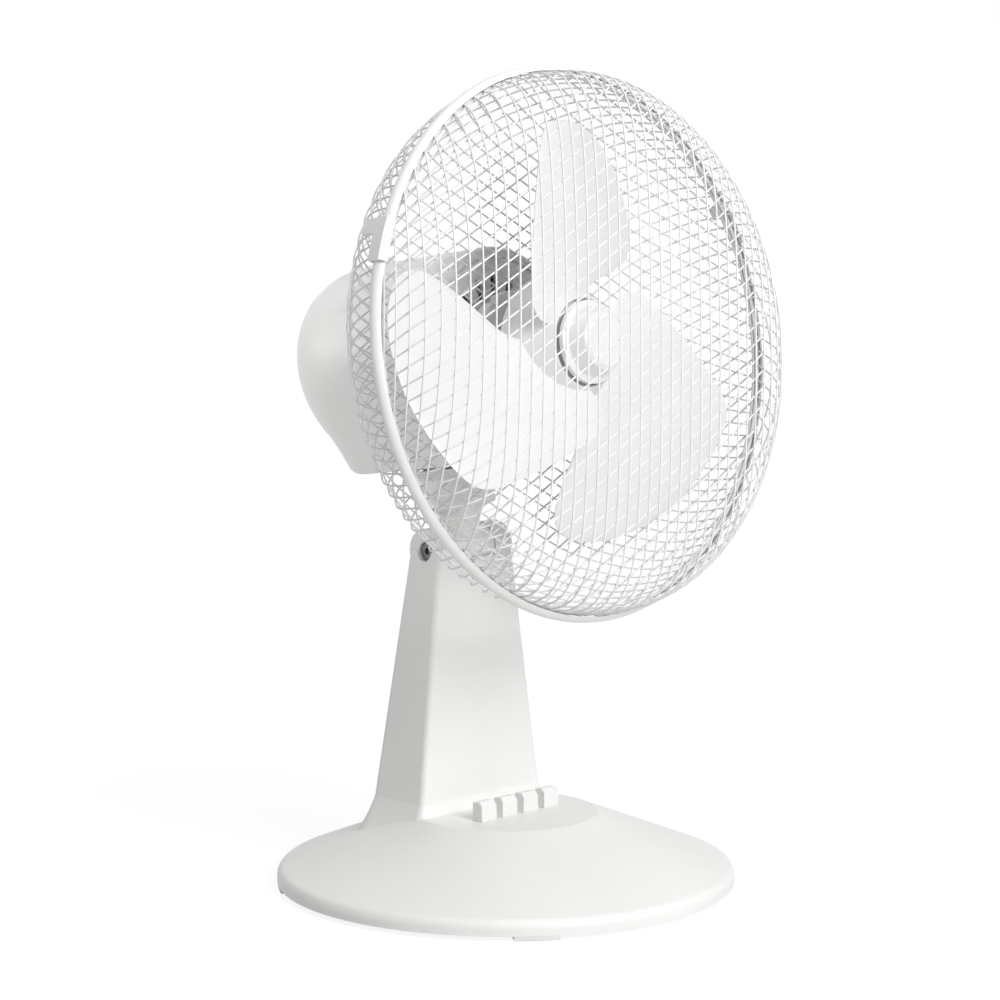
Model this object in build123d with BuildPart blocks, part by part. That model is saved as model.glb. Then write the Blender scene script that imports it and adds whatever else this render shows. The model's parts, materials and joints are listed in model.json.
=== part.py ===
import os
from math import cos, hypot, radians, sin, sqrt

from build123d import *

os.makedirs("parts", exist_ok=True)

# stand: cone-shaped base with a hollow tapered column, all in millimetres
base_r = 145.0
foot_h = 3.0
rim_top_z = 11.2
rim_round = 6.0
plateau_r = 58.0
plateau_z = 46.0
wall = 3.0
plate_t = 2.5
column_top_half = 32.5
column_taper_side = 0.129
column_taper_front = 0.0315
column_taper_rear = 0.081
column_corner = 4.0
flare = 9.0
# feet, plate screws and ballast ring under the base
pad_r = 13.5
pad_count = 4
pad_start = 52.0
screw_r = 1.5
head_r = 3.4
head_h = 1.8
boss_wall = 2.5
plate_screws = 4
plate_start = 7.0
ballast_h = 7.0
ballast_screw_count = 3
ballast_start = 30.0
# cord inlet, low at the back of the base
inlet_r = 4.6
inlet_wall = 1.7
bush_wall = 1.4
bush_flange = 2.0
inlet_len = 28.0
# tilt joint at the top of the column
pivot_y = 40.0
pivot_z = 211.0
ear_r = 14.4
ear_gap = 34.0
ear_seat = 6.0
bolt_r = 3.0
bolt_head_r = 5.2
nut_flat = 5.0
washer_t = 1.0
# the head leans back by this much at rest
tilt = 8.6
# from the neck forward to the guard ring
arm_fwd = 121.0
# neck
collar_r = 25.0
collar_low = 27.0
collar_top = 50.0
pin_r = 8.0
pin_low = 23.0
groove_low = 36.0
groove_top = 42.0
set_screw_r = 2.5
# guard cage: bent straight wires in two crossing layers
ring_r = 170.0
wire = 1.6
pitch = 10.5
wire_count = 30
rim_gap = 0.2
rim_w = 2.0
front_dirs = (81.0, 17.0)
rear_dirs = (20.0, 145.0)
rear_flat = -59.0
mount_ring_r = 37.0
boss_r = 24.0
clip_arc = 9.0
tab_arc = 3.2
clip_angles = (24.0, 156.0)
# fan
blade_t = 2.2
blade_count = 3
hub_r = 28.0
hub_root_r = 43.0
hub_mid_r = 40.0
hub_rear = -24.0
hub_front = 8.5
shaft_r = 4.0
shaft_front = 20.0
shaft_step = 7.0
shaft_rear = -176.0
drive_pin_s = -16.4
drive_pin_r = 1.5
# motor, its stations counted forward from the guard ring
housing_r = 67.0
dome_r = 48.0
skin = 2.5
cover_s = -66.5
cover_t = 3.5
joint_s = -80.0
house_rear = -212.0
stator_r = 46.0
stator_bore = 23.2
stack_front = -97.0
stack_rear = -133.0
coil_h = 7.5
bell_depth = 13.0
bell_lap = 15.0
bell_t = 3.0
box_rear = -182.0
box_w = 40.0
box_h = 44.0
bolt_ring_r = 41.7
bolt_count = 4
cover_ring_r = 40.0
cover_start = 45.0
bearing_r = 9.0
bearing_len = 11.0
# keys
key_count = 4
key_pitch = 18.7
key_w = 13.0
key_d = 8.0
key_y = -9.0
key_top = 58.5
stem_w = 7.0
stem_d = 4.0
stem_len = 17.0
flange_t = 2.5
key_travel = 5.0
switch_screw_x = 28.0
# clearances
slip = 0.3
run = 0.06
fit = 0.05
thread = 0.1
swivel_gap = 1.0

foot_low = collar_top + swivel_gap
foot_top = foot_low + 7.0
# from the tilt pivot up to the fan axis
arm_up = foot_low + housing_r + 0.5
rearward = Vector(0, cos(radians(tilt)), -sin(radians(tilt)))
fwd = -rearward
up = Vector(0, sin(radians(tilt)), cos(radians(tilt)))
side = Vector(1, 0, 0)
pivot = Vector(0, pivot_y, pivot_z)
hub = pivot + up * arm_up + fwd * arm_fwd
fan_axis = Axis(hub, fwd)
neck_axis = Axis(pivot, up)
# face: across the fan axis; prof: radius and station; stem: across the neck axis
face = Plane(origin=hub, x_dir=side, z_dir=fwd)
prof = Plane(origin=hub, x_dir=side, z_dir=-up)
stem = Plane(origin=pivot, x_dir=side, z_dir=up)
stem_prof = Plane(origin=pivot, x_dir=side, z_dir=fwd)
pivot_plane = Plane(origin=pivot, x_dir=rearward, z_dir=side)
floor_z = foot_h + plate_t
cone_slope = (plateau_z - rim_top_z) / (base_r - plateau_r)
inner_plateau_r = plateau_r - 0.7
inner_plateau_z = plateau_z - wall
inner_slope = cone_slope * 0.98
inner_rim_z = inner_plateau_z - (base_r - wall - inner_plateau_r) * inner_slope
# rings of feet, screws and ballast follow the size of the base
pad_ring_r = base_r - pad_r - 1.5
plate_ring_r = base_r - 40.0
ballast_r = base_r * 0.65
ballast_in = base_r * 0.4
ballast_ring_r = (ballast_r + ballast_in) / 2
plate_boss_top = inner_plateau_z - (plate_ring_r - inner_plateau_r) * inner_slope + 0.6
hole_r = screw_r + slip
pilot_r = screw_r + thread
inlet_z = floor_z + inlet_r + inlet_wall + 0.4
inlet_out = base_r - 5.0
inlet_in = inlet_out - inlet_len
flange_top = inner_plateau_z - slip
switch_top = flange_top - flange_t - key_travel - 1.2
seat = column_top_half - ear_seat
knuckle_half = ear_gap / 2 - washer_t - thread
knuckle_r = ear_r - 0.5
bell_r = stator_r + 3.0
bell_in = stator_r + slip
bell_step_r = stator_r - 2.5
front_bell_s = stack_front + bell_depth
rear_bell = stack_rear - bell_depth
foot_reach = bell_t - rear_bell - arm_fwd


def column_box(z, inset):
    half = column_top_half + (pivot_z - z) * column_taper_side - inset
    front = pivot_y - ear_r - (pivot_z - z) * column_taper_front + inset
    rear = pivot_y + ear_r + (pivot_z - z) * column_taper_rear - inset
    return half * 2, rear - front, (front + rear) / 2


# stand shell: base and column in one hollow moulding, open below
with BuildPart() as stand_shell:
    with BuildSketch(Plane.XZ):
        with BuildLine():
            Polyline(
                (0, foot_h),
                (base_r, foot_h),
                (base_r, rim_top_z),
                (plateau_r, plateau_z),
                (0, plateau_z),
                close=True,
            )
        make_face()
        fillet(vertices().sort_by(Axis.X)[-2:].sort_by(Axis.Y)[-1], radius=rim_round)
    revolve(axis=Axis.Z)
    for level in (rim_top_z + 18, pivot_z):
        w, d, mid = column_box(level, 0)
        with BuildSketch(Plane.XY.offset(level)):
            with Locations((0, mid)):
                RectangleRounded(w, d, column_corner)
    loft()
    with BuildSketch(Plane.YZ):
        with Locations((pivot_y, pivot_z)):
            Circle(ear_r)
    extrude(amount=column_top_half - 1, both=True)
    # the foot of the column flares into the cone
    for level, spread in ((plateau_z - 16, flare), (plateau_z - 3, flare / 3), (plateau_z + 8, 0)):
        w, d, mid = column_box(level, -spread)
        with BuildSketch(Plane.XY.offset(level)):
            with Locations((0, mid)):
                RectangleRounded(w, d, column_corner + spread)
    loft()
    with BuildSketch(Plane.XZ):
        with BuildLine():
            Polyline(
                (0, 0),
                (base_r - wall, 0),
                (base_r - wall, inner_rim_z),
                (inner_plateau_r, inner_plateau_z),
                (0, inner_plateau_z),
                close=True,
            )
        make_face()
    revolve(axis=Axis.Z, mode=Mode.SUBTRACT)
    for level in (rim_top_z + 16, pivot_z - ear_r - 8):
        w, d, mid = column_box(level, wall)
        with BuildSketch(Plane.XY.offset(level)):
            with Locations((0, mid)):
                RectangleRounded(w, d, column_corner - wall)
    loft(mode=Mode.SUBTRACT)
    # fork for the tilting neck
    with BuildSketch(Plane.YZ):
        with Locations((pivot_y, pivot_z)):
            Circle(ear_r + 1)
        with Locations((pivot_y, pivot_z + ear_r)):
            Rectangle(ear_r * 2 + 2, ear_r * 2)
    extrude(amount=ear_gap / 2, both=True, mode=Mode.SUBTRACT)
    with BuildSketch(Plane.YZ):
        with Locations((pivot_y, pivot_z)):
            Circle(bolt_r + fit)
    extrude(amount=column_top_half, both=True, mode=Mode.SUBTRACT)
    with BuildSketch(Plane.YZ.offset(-seat)):
        with Locations((pivot_y, pivot_z)):
            Circle(bolt_head_r + 1)
    extrude(amount=-2 * ear_seat, mode=Mode.SUBTRACT)
    with BuildSketch(Plane.YZ.offset(seat)):
        with Locations((pivot_y, pivot_z)):
            RegularPolygon(nut_flat + slip, 6, major_radius=False)
    extrude(amount=2 * ear_seat, mode=Mode.SUBTRACT)
    # key windows
    with BuildSketch(Plane.XY.offset(inner_plateau_z - 1)):
        with Locations((0, key_y)):
            with GridLocations(key_pitch, 1, key_count, 1):
                Rectangle(key_w + 2 * slip, key_d + 2 * slip)
    extrude(amount=wall + 2, mode=Mode.SUBTRACT)
    # screw bosses for the base plate
    with BuildSketch(Plane.XY.offset(floor_z)):
        with PolarLocations(plate_ring_r, plate_screws, start_angle=plate_start):
            Circle(screw_r + boss_wall)
    extrude(amount=plate_boss_top - floor_z)
    with BuildSketch(Plane.XY.offset(floor_z)):
        with PolarLocations(plate_ring_r, plate_screws, start_angle=plate_start):
            Circle(pilot_r)
    extrude(amount=plate_boss_top - floor_z - wall, mode=Mode.SUBTRACT)
    # sleeve for the cord bush, with a pocket for its flange in the rim
    with BuildSketch(Plane.XZ.offset(-inlet_in)):
        with Locations((0, inlet_z)):
            Circle(inlet_r + inlet_wall)
    extrude(amount=inlet_in - inlet_out)
    with BuildSketch(Plane.XZ.offset(-inlet_in)):
        with Locations((0, inlet_z)):
            Circle(inlet_r + fit)
    extrude(amount=inlet_in - inlet_out, mode=Mode.SUBTRACT)
    with BuildSketch(Plane.XZ.offset(-inlet_out)):
        with Locations((0, inlet_z)):
            Circle(inlet_r + bush_flange + slip)
    extrude(amount=inlet_out - base_r, mode=Mode.SUBTRACT)
stand_shell.part.label = "stand_shell"
export_step(stand_shell.part, "parts/stand_shell.step")

# base plate closes the stand from below
with BuildPart() as base_plate:
    with BuildSketch(Plane.XY.offset(foot_h)):
        Circle(base_r - wall - slip)
        with PolarLocations(plate_ring_r, plate_screws, start_angle=plate_start):
            Circle(hole_r, mode=Mode.SUBTRACT)
        with Locations((-switch_screw_x, key_y), (switch_screw_x, key_y)):
            Circle(hole_r, mode=Mode.SUBTRACT)
        with PolarLocations(ballast_ring_r, ballast_screw_count, start_angle=ballast_start):
            Circle(hole_r, mode=Mode.SUBTRACT)
    extrude(amount=plate_t)
base_plate.part.label = "base_plate"
export_step(base_plate.part, "parts/base_plate.step")

with BuildPart() as foot_pads:
    with BuildSketch(Plane.XY):
        with PolarLocations(pad_ring_r, pad_count, start_angle=pad_start):
            Circle(pad_r)
    extrude(amount=foot_h)
foot_pads.part.label = "foot_pads"
export_step(foot_pads.part, "parts/foot_pads.step")

with BuildPart() as base_screws:
    with BuildSketch(Plane.XY.offset(foot_h)):
        with PolarLocations(plate_ring_r, plate_screws, start_angle=plate_start):
            Circle(screw_r)
    extrude(amount=plate_t + 11)
    with BuildSketch(Plane.XY.offset(foot_h)):
        with PolarLocations(plate_ring_r, plate_screws, start_angle=plate_start):
            Circle(head_r)
    extrude(amount=-head_h)
base_screws.part.label = "base_screws"
export_step(base_screws.part, "parts/base_screws.step")

# ballast ring keeps the stand from tipping
with BuildPart() as ballast_weight:
    with BuildSketch(Plane.XY.offset(floor_z)):
        Circle(ballast_r)
        Circle(ballast_in, mode=Mode.SUBTRACT)
        with PolarLocations(ballast_ring_r, ballast_screw_count, start_angle=ballast_start):
            Circle(pilot_r, mode=Mode.SUBTRACT)
    extrude(amount=ballast_h)
ballast_weight.part.label = "ballast_weight"
export_step(ballast_weight.part, "parts/ballast_weight.step")

with BuildPart() as ballast_screws:
    with BuildSketch(Plane.XY.offset(foot_h)):
        with PolarLocations(ballast_ring_r, ballast_screw_count, start_angle=ballast_start):
            Circle(screw_r)
    extrude(amount=plate_t + ballast_h - 1)
    with BuildSketch(Plane.XY.offset(foot_h)):
        with PolarLocations(ballast_ring_r, ballast_screw_count, start_angle=ballast_start):
            Circle(head_r)
    extrude(amount=-head_h)
ballast_screws.part.label = "ballast_screws"
export_step(ballast_screws.part, "parts/ballast_screws.step")

# push-key switch block with one socket for each key
with BuildPart() as switch_body:
    with BuildSketch(Plane.XY.offset(floor_z)):
        with Locations((0, key_y)):
            RectangleRounded(key_count * key_pitch + 9, key_d + 18, 2)
    extrude(amount=switch_top - floor_z)
    with BuildSketch(Plane.XY.offset(switch_top)):
        with Locations((0, key_y)):
            with GridLocations(key_pitch, 1, key_count, 1):
                Rectangle(stem_w + 2 * slip, stem_d + 2 * slip)
    extrude(amount=-stem_len, mode=Mode.SUBTRACT)
    with BuildSketch(Plane.XY.offset(floor_z)):
        with Locations((-switch_screw_x, key_y), (switch_screw_x, key_y)):
            Circle(pilot_r)
    extrude(amount=9, mode=Mode.SUBTRACT)
switch_body.part.label = "switch_body"
export_step(switch_body.part, "parts/switch_body.step")

with BuildPart() as switch_screws:
    with BuildSketch(Plane.XY.offset(foot_h)):
        with Locations((-switch_screw_x, key_y), (switch_screw_x, key_y)):
            Circle(screw_r)
    extrude(amount=plate_t + 8)
    with BuildSketch(Plane.XY.offset(foot_h)):
        with Locations((-switch_screw_x, key_y), (switch_screw_x, key_y)):
            Circle(head_r)
    extrude(amount=-head_h)
switch_screws.part.label = "switch_screws"
export_step(switch_screws.part, "parts/switch_screws.step")

# four keys, the first one stops the fan and the others choose a speed
for index in range(key_count):
    with BuildPart() as key:
        x = (index - (key_count - 1) / 2) * key_pitch
        with BuildSketch(Plane.YZ.offset(x)):
            with BuildLine():
                Polyline(
                    (key_y - key_d / 2, flange_top - 1),
                    (key_y - key_d / 2, key_top - 2.5),
                    (key_y - key_d / 2 + 2, key_top),
                    (key_y + key_d / 2, key_top - 0.6),
                    (key_y + key_d / 2, flange_top - 1),
                    close=True,
                )
            make_face()
        extrude(amount=key_w / 2, both=True)
        fillet(edges().filter_by(lambda e: e.center().Z > key_top - 3.5), radius=0.8)
        with BuildSketch(Plane.XY.offset(flange_top)):
            with Locations((x, key_y)):
                Rectangle(key_w + 2.4, key_d + 3)
        extrude(amount=-flange_t)
        with BuildSketch(Plane.XY.offset(flange_top - flange_t)):
            with Locations((x, key_y)):
                Rectangle(stem_w, stem_d)
        extrude(amount=-stem_len)
    key.part.label = f"key_{index}"
    export_step(key.part, f"parts/key_{index}.step")

capacitor_y = key_y + 25.0
with BuildPart() as capacitor:
    with BuildSketch(Plane.XY.offset(floor_z)):
        with Locations((0, capacitor_y)):
            RectangleRounded(42, 20, 2)
    extrude(amount=25)
capacitor.part.label = "capacitor"
export_step(capacitor.part, "parts/capacitor.step")

# three-way terminal block with a screw well for each way
block_y = capacitor_y + 19.5
block_step = 9.0
block_top = 14.0
with BuildPart() as terminal_block:
    with BuildSketch(Plane.XY.offset(floor_z)):
        with Locations((0, block_y)):
            Rectangle(36, 16)
    extrude(amount=block_step)
    with BuildSketch(Plane.XY.offset(floor_z + block_step)):
        with Locations((0, block_y)):
            Rectangle(36, 8)
    extrude(amount=block_top - block_step)
    with BuildSketch(Plane.XY.offset(floor_z + block_top)):
        with Locations((0, block_y)):
            with GridLocations(12, 1, 3, 1):
                Circle(2.2)
    extrude(amount=-8, mode=Mode.SUBTRACT)
terminal_block.part.label = "terminal_block"
export_step(terminal_block.part, "parts/terminal_block.step")

with BuildPart() as cord_bush:
    with BuildSketch(Plane.XZ.offset(-inlet_in)):
        with Locations((0, inlet_z)):
            Circle(inlet_r)
            Circle(inlet_r - bush_wall, mode=Mode.SUBTRACT)
    extrude(amount=inlet_in - inlet_out)
    with BuildSketch(Plane.XZ.offset(-inlet_out)):
        with Locations((0, inlet_z)):
            Circle(inlet_r + bush_flange)
            Circle(inlet_r - bush_wall, mode=Mode.SUBTRACT)
    extrude(amount=-bush_flange)
cord_bush.part.label = "cord_bush"
export_step(cord_bush.part, "parts/cord_bush.step")

# tilt joint hardware
bolt_head_h = 3.5
with BuildPart() as tilt_bolt:
    with BuildSketch(Plane.YZ.offset(-seat)):
        with Locations((pivot_y, pivot_z)):
            Circle(bolt_r)
    extrude(amount=2 * seat + ear_seat - 0.5)
    with BuildSketch(Plane.YZ.offset(-seat)):
        with Locations((pivot_y, pivot_z)):
            Circle(bolt_head_r)
    extrude(amount=-bolt_head_h)
    with BuildSketch(Plane.YZ.offset(-seat - bolt_head_h)):
        with Locations((pivot_y, pivot_z)):
            RegularPolygon(2, 6, major_radius=False)
    extrude(amount=2, mode=Mode.SUBTRACT)
tilt_bolt.part.label = "tilt_bolt"
export_step(tilt_bolt.part, "parts/tilt_bolt.step")

with BuildPart() as tilt_nut:
    with BuildSketch(Plane.YZ.offset(seat)):
        with Locations((pivot_y, pivot_z)):
            RegularPolygon(nut_flat, 6, major_radius=False)
            Circle(bolt_r + fit, mode=Mode.SUBTRACT)
    extrude(amount=ear_seat - 1)
tilt_nut.part.label = "tilt_nut"
export_step(tilt_nut.part, "parts/tilt_nut.step")

with BuildPart() as friction_washers:
    for sign in (-1, 1):
        with BuildSketch(Plane.YZ.offset(sign * ear_gap / 2)):
            with Locations((pivot_y, pivot_z)):
                Circle(ear_r - 2)
                Circle(bolt_r + fit, mode=Mode.SUBTRACT)
        extrude(amount=-sign * washer_t)
friction_washers.part.label = "friction_washers"
export_step(friction_washers.part, "parts/friction_washers.step")

# neck: knuckle on the tilt bolt, round collar above with the swivel bore
screw_up = (groove_low + groove_top) / 2
screw_plane = Plane(origin=pivot + up * screw_up, x_dir=side, z_dir=rearward)
with BuildPart() as neck:
    with BuildSketch(pivot_plane):
        Circle(knuckle_r)
    extrude(amount=knuckle_half, both=True)
    with BuildSketch(stem_prof):
        with BuildLine():
            Polyline(
                (0, 0),
                (knuckle_r, 0),
                (knuckle_r, collar_low - 4),
                (collar_r, collar_low),
                (collar_r, collar_top),
                (0, collar_top),
                close=True,
            )
        make_face()
    revolve(axis=neck_axis)
    with BuildSketch(stem.offset(pin_low - 1)):
        Circle(pin_r + run)
    extrude(amount=collar_top - pin_low + 1, mode=Mode.SUBTRACT)
    with BuildSketch(pivot_plane):
        Circle(bolt_r + run)
    extrude(amount=ear_gap, both=True, mode=Mode.SUBTRACT)
    with BuildSketch(screw_plane):
        Circle(set_screw_r + fit)
    extrude(amount=collar_r + 5, mode=Mode.SUBTRACT)
neck.part.label = "neck"
export_step(neck.part, "parts/neck.step")

with BuildPart() as thrust_washer:
    with BuildSketch(stem.offset(collar_top)):
        Circle(collar_r - 6)
        Circle(pin_r + slip, mode=Mode.SUBTRACT)
    extrude(amount=swivel_gap - run)
thrust_washer.part.label = "thrust_washer"
export_step(thrust_washer.part, "parts/thrust_washer.step")

with BuildPart() as set_screw:
    with BuildSketch(screw_plane.offset(pin_r - 1)):
        Circle(set_screw_r)
    extrude(amount=collar_r - pin_r)
    with BuildSketch(screw_plane.offset(collar_r - 1)):
        RegularPolygon(set_screw_r / 2, 6, major_radius=False)
    extrude(amount=-3, mode=Mode.SUBTRACT)
set_screw.part.label = "set_screw"
export_step(set_screw.part, "parts/set_screw.step")

# swivel pin hangs from the gear case and turns in the neck
with BuildPart() as swivel_pin:
    with BuildSketch(stem_prof):
        with BuildLine():
            Polyline(
                (0, pin_low),
                (pin_r, pin_low),
                (pin_r, groove_low),
                (pin_r - 1.5, groove_low),
                (pin_r - 1.5, groove_top),
                (pin_r, groove_top),
                (pin_r, foot_top),
                (pin_r + 3, foot_top),
                (pin_r + 3, foot_top + 3),
                (0, foot_top + 3),
                close=True,
            )
        make_face()
    revolve(axis=neck_axis)
swivel_pin.part.label = "swivel_pin"
export_step(swivel_pin.part, "parts/swivel_pin.step")

# gear case: rear end of the motor, gear box behind it and the swivel foot below
box_wall = 3.0
box_len = rear_bell - box_rear
lid_t = 2.0
lid_screw_r = 0.85
lid_holes = (box_w - box_wall, box_len - box_wall)
lid_plane = Plane(origin=hub + up * box_h / 2 + fwd * (rear_bell + box_rear) / 2, x_dir=side, z_dir=up)
foot_w = 28.0
web_h = arm_up - bell_r + 8 - foot_low
boss_end = house_rear + skin
with BuildPart() as gear_case:
    with BuildSketch(prof):
        with BuildLine():
            Polyline(
                (0, rear_bell),
                (bell_r, rear_bell),
                (bell_r, stack_rear + bell_lap),
                (bell_in, stack_rear + bell_lap),
                (bell_in, stack_rear),
                (bell_step_r, stack_rear),
                (bell_step_r, rear_bell + bell_t),
                (0, rear_bell + bell_t),
                close=True,
            )
        make_face()
    revolve(axis=fan_axis)
    with BuildSketch(face.offset(rear_bell)):
        RectangleRounded(box_w, box_h, box_wall)
    extrude(amount=-box_len)
    with BuildSketch(lid_plane):
        Rectangle(box_w - 2 * box_wall, box_len - 2 * box_wall)
    extrude(amount=box_wall - box_h, mode=Mode.SUBTRACT)
    with BuildSketch(face.offset(rear_bell)):
        Circle(bearing_r + box_wall)
    extrude(amount=1 - bearing_len)
    # post behind the box for the housing screw
    with BuildSketch(face.offset(box_rear)):
        Circle(screw_r + boss_wall + 2)
    extrude(amount=boss_end - box_rear)
    # swivel foot and the web that carries it
    with BuildSketch(stem.offset(foot_low)):
        Circle(pin_r + 12)
        with Locations((0, foot_reach / 2)):
            Rectangle(foot_w, foot_reach)
    extrude(amount=foot_top - foot_low)
    with BuildSketch(face.offset(rear_bell + bell_t)):
        with Locations((0, foot_low - arm_up + web_h / 2)):
            Rectangle(foot_w, web_h)
    extrude(amount=-2 * bell_t)
    with BuildSketch(stem.offset(foot_low)):
        Circle(pin_r + fit)
    extrude(amount=foot_top - foot_low, mode=Mode.SUBTRACT)
    with BuildSketch(face.offset(rear_bell)):
        Circle(bearing_r)
    extrude(amount=1 - bearing_len, mode=Mode.SUBTRACT)
    with BuildSketch(face.offset(rear_bell)):
        Circle(shaft_r + 1)
        with PolarLocations(bolt_ring_r, bolt_count):
            Circle(pilot_r)
    extrude(amount=bell_t, mode=Mode.SUBTRACT)
    with BuildSketch(face.offset(boss_end)):
        Circle(pilot_r)
    extrude(amount=22, mode=Mode.SUBTRACT)
    with BuildSketch(lid_plane):
        with GridLocations(*lid_holes, 2, 2):
            Circle(lid_screw_r + fit)
    extrude(amount=-8, mode=Mode.SUBTRACT)
gear_case.part.label = "gear_case"
export_step(gear_case.part, "parts/gear_case.step")

with BuildPart() as gear_cover:
    with BuildSketch(lid_plane):
        Rectangle(box_w, box_len)
        with GridLocations(*lid_holes, 2, 2):
            Circle(lid_screw_r + 0.15, mode=Mode.SUBTRACT)
    extrude(amount=lid_t)
gear_cover.part.label = "gear_cover"
export_step(gear_cover.part, "parts/gear_cover.step")

with BuildPart() as gear_screws:
    with BuildSketch(lid_plane.offset(lid_t)):
        with GridLocations(*lid_holes, 2, 2):
            Circle(lid_screw_r)
    extrude(amount=-lid_t - 7)
    with BuildSketch(lid_plane.offset(lid_t)):
        with GridLocations(*lid_holes, 2, 2):
            Circle(1.5)
    extrude(amount=1.2)
gear_screws.part.label = "gear_screws"
export_step(gear_screws.part, "parts/gear_screws.step")

with BuildPart() as front_bell:
    with BuildSketch(prof):
        with BuildLine():
            Polyline(
                (0, front_bell_s),
                (bell_r, front_bell_s),
                (bell_r, stack_front - bell_lap),
                (bell_in, stack_front - bell_lap),
                (bell_in, stack_front),
                (bell_step_r, stack_front),
                (bell_step_r, front_bell_s - bell_t),
                (0, front_bell_s - bell_t),
                close=True,
            )
        make_face()
    revolve(axis=fan_axis)
    with BuildSketch(face.offset(front_bell_s)):
        Circle(bearing_r + 4)
        Circle(bearing_r, mode=Mode.SUBTRACT)
    extrude(amount=bearing_len + 1)
    with BuildSketch(face.offset(front_bell_s)):
        Circle(shaft_r + 1)
        with PolarLocations(bolt_ring_r, bolt_count):
            Circle(pilot_r)
        with PolarLocations(cover_ring_r, bolt_count, start_angle=cover_start):
            Circle(pilot_r)
    extrude(amount=-bell_t, mode=Mode.SUBTRACT)
front_bell.part.label = "front_bell"
export_step(front_bell.part, "parts/front_bell.step")

with BuildPart() as bell_bolts:
    with BuildSketch(face.offset(front_bell_s)):
        with PolarLocations(bolt_ring_r, bolt_count):
            Circle(screw_r)
    extrude(amount=rear_bell - front_bell_s)
    with BuildSketch(face.offset(front_bell_s)):
        with PolarLocations(bolt_ring_r, bolt_count):
            RegularPolygon(2.75, 6, major_radius=False)
    extrude(amount=2.4)
bell_bolts.part.label = "bell_bolts"
export_step(bell_bolts.part, "parts/bell_bolts.step")

with BuildPart() as stator_core:
    with BuildSketch(face.offset(stack_rear)):
        Circle(stator_r)
        Circle(stator_bore, mode=Mode.SUBTRACT)
        with PolarLocations(bolt_ring_r, bolt_count):
            Circle(pilot_r, mode=Mode.SUBTRACT)
    extrude(amount=stack_front - stack_rear)
stator_core.part.label = "stator_core"
export_step(stator_core.part, "parts/stator_core.step")

with BuildPart() as stator_coils:
    for level, depth in ((stack_front, coil_h), (stack_rear, -coil_h)):
        with BuildSketch(face.offset(level)):
            Circle(stator_r - 7.5)
            Circle(stator_bore + 1.8, mode=Mode.SUBTRACT)
        extrude(amount=depth)
stator_coils.part.label = "stator_coils"
export_step(stator_coils.part, "parts/stator_coils.step")

with BuildPart() as front_bearing:
    with BuildSketch(face.offset(front_bell_s)):
        Circle(bearing_r - fit)
        Circle(shaft_r + run, mode=Mode.SUBTRACT)
    extrude(amount=bearing_len)
front_bearing.part.label = "front_bearing"
export_step(front_bearing.part, "parts/front_bearing.step")

with BuildPart() as rear_bearing:
    with BuildSketch(face.offset(rear_bell)):
        Circle(bearing_r - fit)
        Circle(shaft_r + run, mode=Mode.SUBTRACT)
    extrude(amount=1 - bearing_len)
rear_bearing.part.label = "rear_bearing"
export_step(rear_bearing.part, "parts/rear_bearing.step")

# front cover of the motor: vented disc with the threaded boss for the guard
boss_front = rear_flat + 9.0
boss_bore_r = 18.0
seat_r = 33.0
groove_r = housing_r - 8.0
cover_back = cover_s - cover_t
slot_ring_r = 42.0
slot_count = 20
with BuildPart() as front_cover:
    with BuildSketch(prof):
        with BuildLine():
            Polyline(
                (boss_bore_r, joint_s + 6),
                (boss_bore_r + 2, cover_back),
                (housing_r - skin, cover_back),
                (housing_r - skin, joint_s),
                (housing_r, joint_s),
                (housing_r, cover_s - 1.5),
                (housing_r - 1.5, cover_s),
                (groove_r + 1.5, cover_s),
                (groove_r + 1.5, cover_s - 1.4),
                (groove_r, cover_s - 1.4),
                (groove_r, cover_s),
                (seat_r, cover_s),
                (seat_r, rear_flat),
                (boss_r, rear_flat),
                (boss_r, boss_front),
                (boss_bore_r, boss_front),
                close=True,
            )
        make_face()
    revolve(axis=fan_axis)
    with BuildSketch(face.offset(cover_back)):
        with PolarLocations(cover_ring_r, bolt_count, start_angle=cover_start):
            Circle(screw_r + boss_wall + 1)
    extrude(amount=front_bell_s - cover_back)
    with BuildSketch(face.offset(cover_s)):
        with PolarLocations(cover_ring_r, bolt_count, start_angle=cover_start):
            Circle(pilot_r)
    extrude(amount=front_bell_s - cover_s, mode=Mode.SUBTRACT)
    with BuildSketch(face.offset(cover_s)):
        with PolarLocations(slot_ring_r, slot_count):
            SlotOverall(14, 6)
    extrude(amount=-cover_t, mode=Mode.SUBTRACT)
front_cover.part.label = "front_cover"
export_step(front_cover.part, "parts/front_cover.step")

with BuildPart() as cover_screws:
    with BuildSketch(face.offset(cover_s)):
        with PolarLocations(cover_ring_r, bolt_count, start_angle=cover_start):
            Circle(screw_r)
    extrude(amount=front_bell_s - bell_t - cover_s)
    with BuildSketch(face.offset(cover_s)):
        with PolarLocations(cover_ring_r, bolt_count, start_angle=cover_start):
            Circle(head_r - 0.3)
    extrude(amount=2)
cover_screws.part.label = "cover_screws"
export_step(cover_screws.part, "parts/cover_screws.step")

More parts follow.
